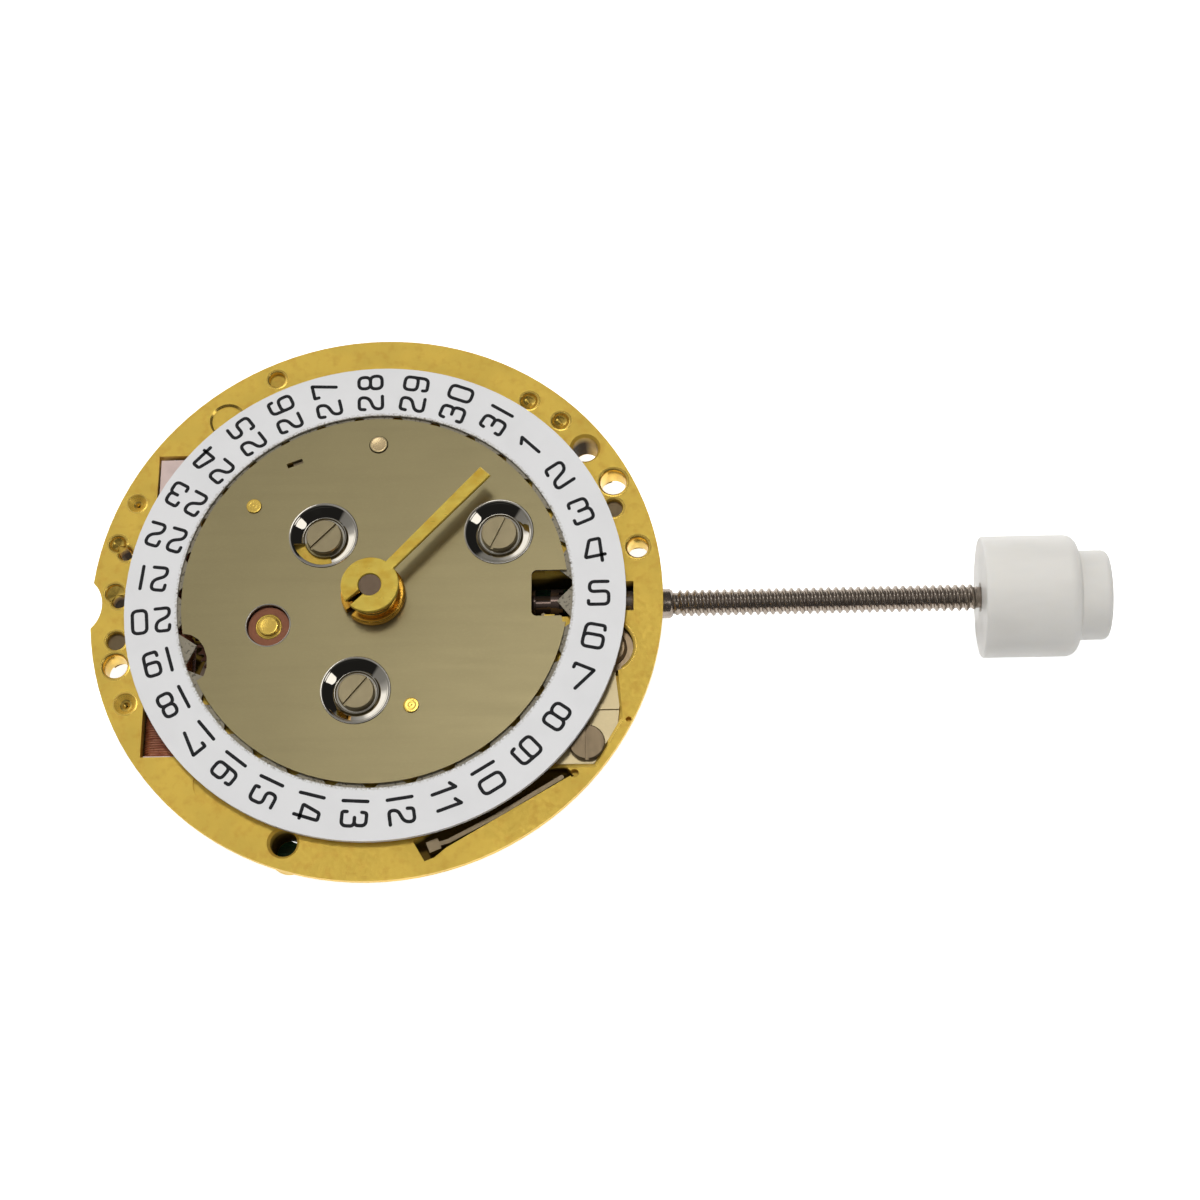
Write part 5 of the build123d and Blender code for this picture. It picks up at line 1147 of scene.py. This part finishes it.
def crown_profile(inner_edge):
    """The crown's skirt from the stem hole outwards, then its step, boss and end."""
    end = CROWN_START + CROWN_LENGTH
    boss_edge = CROWN_EDGE / 2
    profile = [(CROWN_HOLE, CROWN_START + HOLE_DEPTH), (CROWN_HOLE, CROWN_START + HOLE_EDGE)]
    profile += [(CROWN_HOLE + HOLE_EDGE, CROWN_START)]
    profile += arc_profile((CROWN_RADIUS - inner_edge, CROWN_START + inner_edge), inner_edge, -90, 0, 8)
    profile += arc_profile((CROWN_RADIUS - CROWN_EDGE, end - CROWN_EDGE), CROWN_EDGE, 0, 90, 8)
    profile += [(CROWN_BOSS + BOSS_NECK, end)]
    profile += [(CROWN_BOSS + BOSS_NECK * NECK_SHARE, end + BOSS_NECK * NECK_SHARE)]
    profile += [(CROWN_BOSS, end + BOSS_NECK)]
    profile += arc_profile((CROWN_BOSS - boss_edge, CROWN_BOSS_END - boss_edge), boss_edge, 0, 90, 8)
    return profile + [(CROWN_BOSS * END_SHARE, CROWN_BOSS_END - END_FALL), (0.0, CROWN_BOSS_END)]


class MOVEMENT_OT_crown(Operator):
    """Turns the stepped plastic crown with its soft edges and stem hole"""

    bl_idname = "movement.crown"
    bl_label = "Turn the crown"

    def execute(self, context):
        profile = crown_profile(context.scene.movement_sizes.crown_inner_edge / MM)
        crown = turned_surface(
            "milky_crown", profile, crown_finish(context.scene.movement_colours), axis="X", at=(0, 0, STEM_Z),
            steps=128, smooth_angle=40,
        )
        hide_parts("crown")
        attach(crown, "stem_group")
        return {"FINISHED"}


# Half the winding's width, the roundness of its corners and the fall at its ends, and then a turn of wire
# seen from the side, as shares of the pitch and depths below the crest
COIL_HALF, COIL_CORNER, COIL_END_FALL = 0.99, 0.5, 0.5
TURN_SHAPE = ((0.06, 0.05), (0.28, 0.012), (0.5, 0), (0.72, 0.012), (0.94, 0.05))


class MOVEMENT_OT_winding(Operator):
    """Winds the coil, turn beside turn"""

    bl_idname = "movement.winding"
    bl_label = "Wind the coil"

    def execute(self, context):
        pitch = context.scene.movement_sizes.wire_pitch / MM
        middle_z = (COIL_LOW_Z + COIL_HIGH_Z) / 2
        half_z = (COIL_HIGH_Z - COIL_LOW_Z) / 2
        corners = [(-COIL_HALF, -half_z), (COIL_HALF, -half_z), (COIL_HALF, half_z), (-COIL_HALF, half_z)]
        outline = rounded_path(corners, COIL_CORNER, True, 5)
        turns = int((COIL_HIGH_Y - COIL_LOW_Y) / pitch)
        step_up = (COIL_HIGH_Y - COIL_LOW_Y) / turns
        rows = [(COIL_LOW_Y, COIL_END_FALL)]
        for turn in range(turns):
            start = COIL_LOW_Y + turn * step_up
            rows += [(start + step_up * share, depth) for share, depth in TURN_SHAPE]
        rows.append((COIL_HIGH_Y, COIL_END_FALL))
        points = []
        for y, depth in rows:
            for flat in outline:
                inward = flat.normalized() * depth
                points.append((COIL_X + flat.x - inward.x, y, middle_z + flat.y - inward.y))
        faces = [(face[0], *reversed(face[1:])) for face in ring_faces(len(rows), len(outline))]
        coil = new_piece("wound_coil", points, faces, wire_finish(context.scene.movement_colours), 60)
        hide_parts("coil_winding")
        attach(coil, "movement")
        return {"FINISHED"}


# Places of the lamps in metres, and the key lamp's colour
KEY_PLACE, KEY_COLOUR = (-0.012, 0.14, 0.45), (1.0, 0.985, 0.96)
GLARE_PLACE = (-0.012, 0.128, 0.455)
FILL_PLACE = (0.15, -0.42, 0.28)
SPOT_PLACE = (0.3, -0.055, 0.315)

# The camera's place in millimetres, its angles in degrees, and its lens and range
CAMERA_PLACE = (14.794, -38.024, 100.701)
CAMERA_ELEVATION, CAMERA_AZIMUTH, CAMERA_ROLL = 69.28, 6.99, -7.69
CAMERA_LENS, CAMERA_SENSOR, CAMERA_NEAR, CAMERA_FAR = 71.77, 36, 0.001, 40

# Half the floor's width and the gap under the movement, in millimetres
FLOOR_REACH, FLOOR_GAP = 9000, 0.005

# The room: the direction it brightens in, its brightness by that direction above and below, and the heights
# between which the walls give way to the ceiling
BRIGHT_SIDE = (-0.75, 0.66, 0)
CEILING_STOPS = ((0.2, 0.0), (0.4, 0.12), (0.6, 0.36), (0.7, 0.5), (0.85, 0.85), (0.98, 1.0))
WALL_STOPS = ((0.3, 0.0), (0.64, 0.0), (0.69, 0.24), (0.85, 0.28), (0.93, 0.6), (0.96, 1.5))
CEILING_LOW, CEILING_HIGH = 0.79, 0.9


def area_lamp(name, position, power, wide, colour=(1, 1, 1), reflected=True):
    """A round lamp that shines at the movement's middle."""
    data = bpy.data.lights.new(name, "AREA")
    data.energy = power
    data.color = colour
    data.shape = "DISK"
    data.size = wide
    lamp = bpy.data.objects.new(name, data)
    bpy.context.scene.collection.objects.link(lamp)
    lamp.location = position
    lamp.rotation_mode = "QUATERNION"
    lamp.rotation_quaternion = (-Vector(position)).to_track_quat("-Z", "Y")
    lamp.visible_glossy = reflected


def sky_ramp(nodes, links, share, studio, stops):
    """Brightness by direction across the room, as shares of the way from the dark sky to the bright one."""
    ramp = nodes.new("ShaderNodeValToRGB")
    for index, (position, lightness) in enumerate(stops):
        if index < 2:
            stop = ramp.color_ramp.elements[index]
            stop.position = position
        else:
            stop = ramp.color_ramp.elements.new(position)
        level = studio.sky_dark + (studio.sky_bright - studio.sky_dark) * lightness
        stop.color = (level, level, level, 1)
    links.new(share, ramp.inputs["Fac"])
    return ramp.outputs["Color"]


def studio_world(studio):
    """A room with a bright wall at the upper left of the picture, a grey ceiling and dark other walls."""
    world = bpy.data.worlds.new("studio_room")
    bpy.context.scene.world = world
    world.use_nodes = True
    nodes, links = world.node_tree.nodes, world.node_tree.links
    background = nodes["Background"]
    place = nodes.new("ShaderNodeTexCoord")
    toward = nodes.new("ShaderNodeVectorMath")
    toward.operation = "DOT_PRODUCT"
    toward.inputs[1].default_value = BRIGHT_SIDE
    links.new(place.outputs["Generated"], toward.inputs[0])
    share = nodes.new("ShaderNodeMapRange")
    share.inputs["From Min"].default_value = -1
    links.new(toward.outputs["Value"], share.inputs["Value"])
    ceiling = sky_ramp(nodes, links, share.outputs["Result"], studio, CEILING_STOPS)
    wall = sky_ramp(nodes, links, share.outputs["Result"], studio, WALL_STOPS)
    split = nodes.new("ShaderNodeSeparateXYZ")
    links.new(place.outputs["Generated"], split.inputs[0])
    height = nodes.new("ShaderNodeMapRange")
    height.inputs["From Min"].default_value = CEILING_LOW
    height.inputs["From Max"].default_value = CEILING_HIGH
    links.new(split.outputs["Z"], height.inputs["Value"])
    mix = nodes.new("ShaderNodeMix")
    mix.data_type = "RGBA"
    links.new(height.outputs["Result"], mix.inputs[MIX_FACTOR])
    links.new(wall, mix.inputs[MIX_FIRST])
    links.new(ceiling, mix.inputs[MIX_SECOND])
    links.new(mix.outputs[MIX_RESULT], background.inputs["Color"])
    background.inputs["Strength"].default_value = 1.0


def photo_camera():
    """The camera where the photograph was taken from."""
    data = bpy.data.cameras.new("photo_camera")
    data.sensor_width = CAMERA_SENSOR
    data.lens = CAMERA_LENS
    data.clip_start, data.clip_end = CAMERA_NEAR, CAMERA_FAR
    camera = bpy.data.objects.new("photo_camera", data)
    bpy.context.scene.collection.objects.link(camera)
    elevation, azimuth = math.radians(CAMERA_ELEVATION), math.radians(CAMERA_AZIMUTH)
    roll = math.radians(CAMERA_ROLL)
    aside = math.cos(elevation)
    back = Vector((math.sin(azimuth) * aside, -math.cos(azimuth) * aside, math.sin(elevation)))
    right = Vector((math.cos(azimuth), math.sin(azimuth), 0))
    up = back.cross(right)
    level = right * math.cos(roll) + up * math.sin(roll)
    upright = up * math.cos(roll) - right * math.sin(roll)
    turn = Matrix((level, upright, back)).transposed().to_4x4()
    camera.matrix_world = Matrix.Translation(Vector(CAMERA_PLACE) * MM) @ turn
    return camera


class MOVEMENT_OT_stage(Operator):
    """Sets the floor, the lamps, the room and the camera"""

    bl_idname = "movement.stage"
    bl_label = "Set the stage"

    def execute(self, context):
        studio, colours = context.scene.movement_studio, context.scene.movement_colours
        slope = math.tan(math.radians(REST_TILT))
        points = []
        for across, along in ((-1, -1), (1, -1), (1, 1), (-1, 1)):
            x, y = across * FLOOR_REACH, along * FLOOR_REACH
            points.append((x, y, REST_Z + slope * (REST_X - x) - FLOOR_GAP))
        floor = new_piece("studio_floor", points, [(0, 1, 2, 3)], floor_finish(studio, colours))
        area_lamp("key_lamp", KEY_PLACE, studio.key_power, studio.key_size, KEY_COLOUR, reflected=False)
        area_lamp("glare_lamp", GLARE_PLACE, studio.glare_power, studio.glare_size)
        area_lamp("fill_lamp", FILL_PLACE, studio.fill_power, studio.fill_size, reflected=False)
        area_lamp("spot_lamp", SPOT_PLACE, studio.spot_power, studio.spot_size)
        studio_world(studio)
        context.scene.camera = photo_camera()
        context.scene.view_settings.view_transform = "Standard"
        return {"FINISHED"}


class MOVEMENT_PT_sidebar(Panel):
    """The movement's pieces and settings"""

    bl_label = "Watch movement"
    bl_idname = "MOVEMENT_PT_sidebar"
    bl_space_type = "VIEW_3D"
    bl_region_type = "UI"
    bl_category = "Movement"

    def draw(self, context):
        for operator in OPERATORS:
            self.layout.operator(operator.bl_idname)
        scene = context.scene
        for group in (scene.movement_sizes, scene.movement_colours, scene.movement_studio):
            box = self.layout.box()
            for name in group.bl_rna.properties.keys():
                if name not in ("rna_type", "name"):
                    box.prop(group, name)


SETTINGS = (MovementColours, MovementSizes, MovementStudio)
OPERATORS = (
    MOVEMENT_OT_finishes,
    MOVEMENT_OT_numerals,
    MOVEMENT_OT_dishes,
    MOVEMENT_OT_mouths,
    MOVEMENT_OT_window,
    MOVEMENT_OT_hand,
    MOVEMENT_OT_collet,
    MOVEMENT_OT_stem,
    MOVEMENT_OT_crown,
    MOVEMENT_OT_winding,
    MOVEMENT_OT_stage,
)
CLASSES = SETTINGS + OPERATORS + (MOVEMENT_PT_sidebar,)


def register():
    for cls in CLASSES:
        bpy.utils.register_class(cls)
    bpy.types.Scene.movement_colours = PointerProperty(type=MovementColours)
    bpy.types.Scene.movement_sizes = PointerProperty(type=MovementSizes)
    bpy.types.Scene.movement_studio = PointerProperty(type=MovementStudio)


def unregister():
    del bpy.types.Scene.movement_studio
    del bpy.types.Scene.movement_sizes
    del bpy.types.Scene.movement_colours
    for cls in reversed(CLASSES):
        bpy.utils.unregister_class(cls)


def main():
    register()
    bpy.ops.movement.finishes()
    bpy.ops.movement.numerals()
    bpy.ops.movement.dishes()
    bpy.ops.movement.mouths()
    bpy.ops.movement.window()
    bpy.ops.movement.hand()
    bpy.ops.movement.collet()
    bpy.ops.movement.stem()
    bpy.ops.movement.crown()
    bpy.ops.movement.winding()
    bpy.ops.movement.stage()


if __name__ == "__main__":
    main()
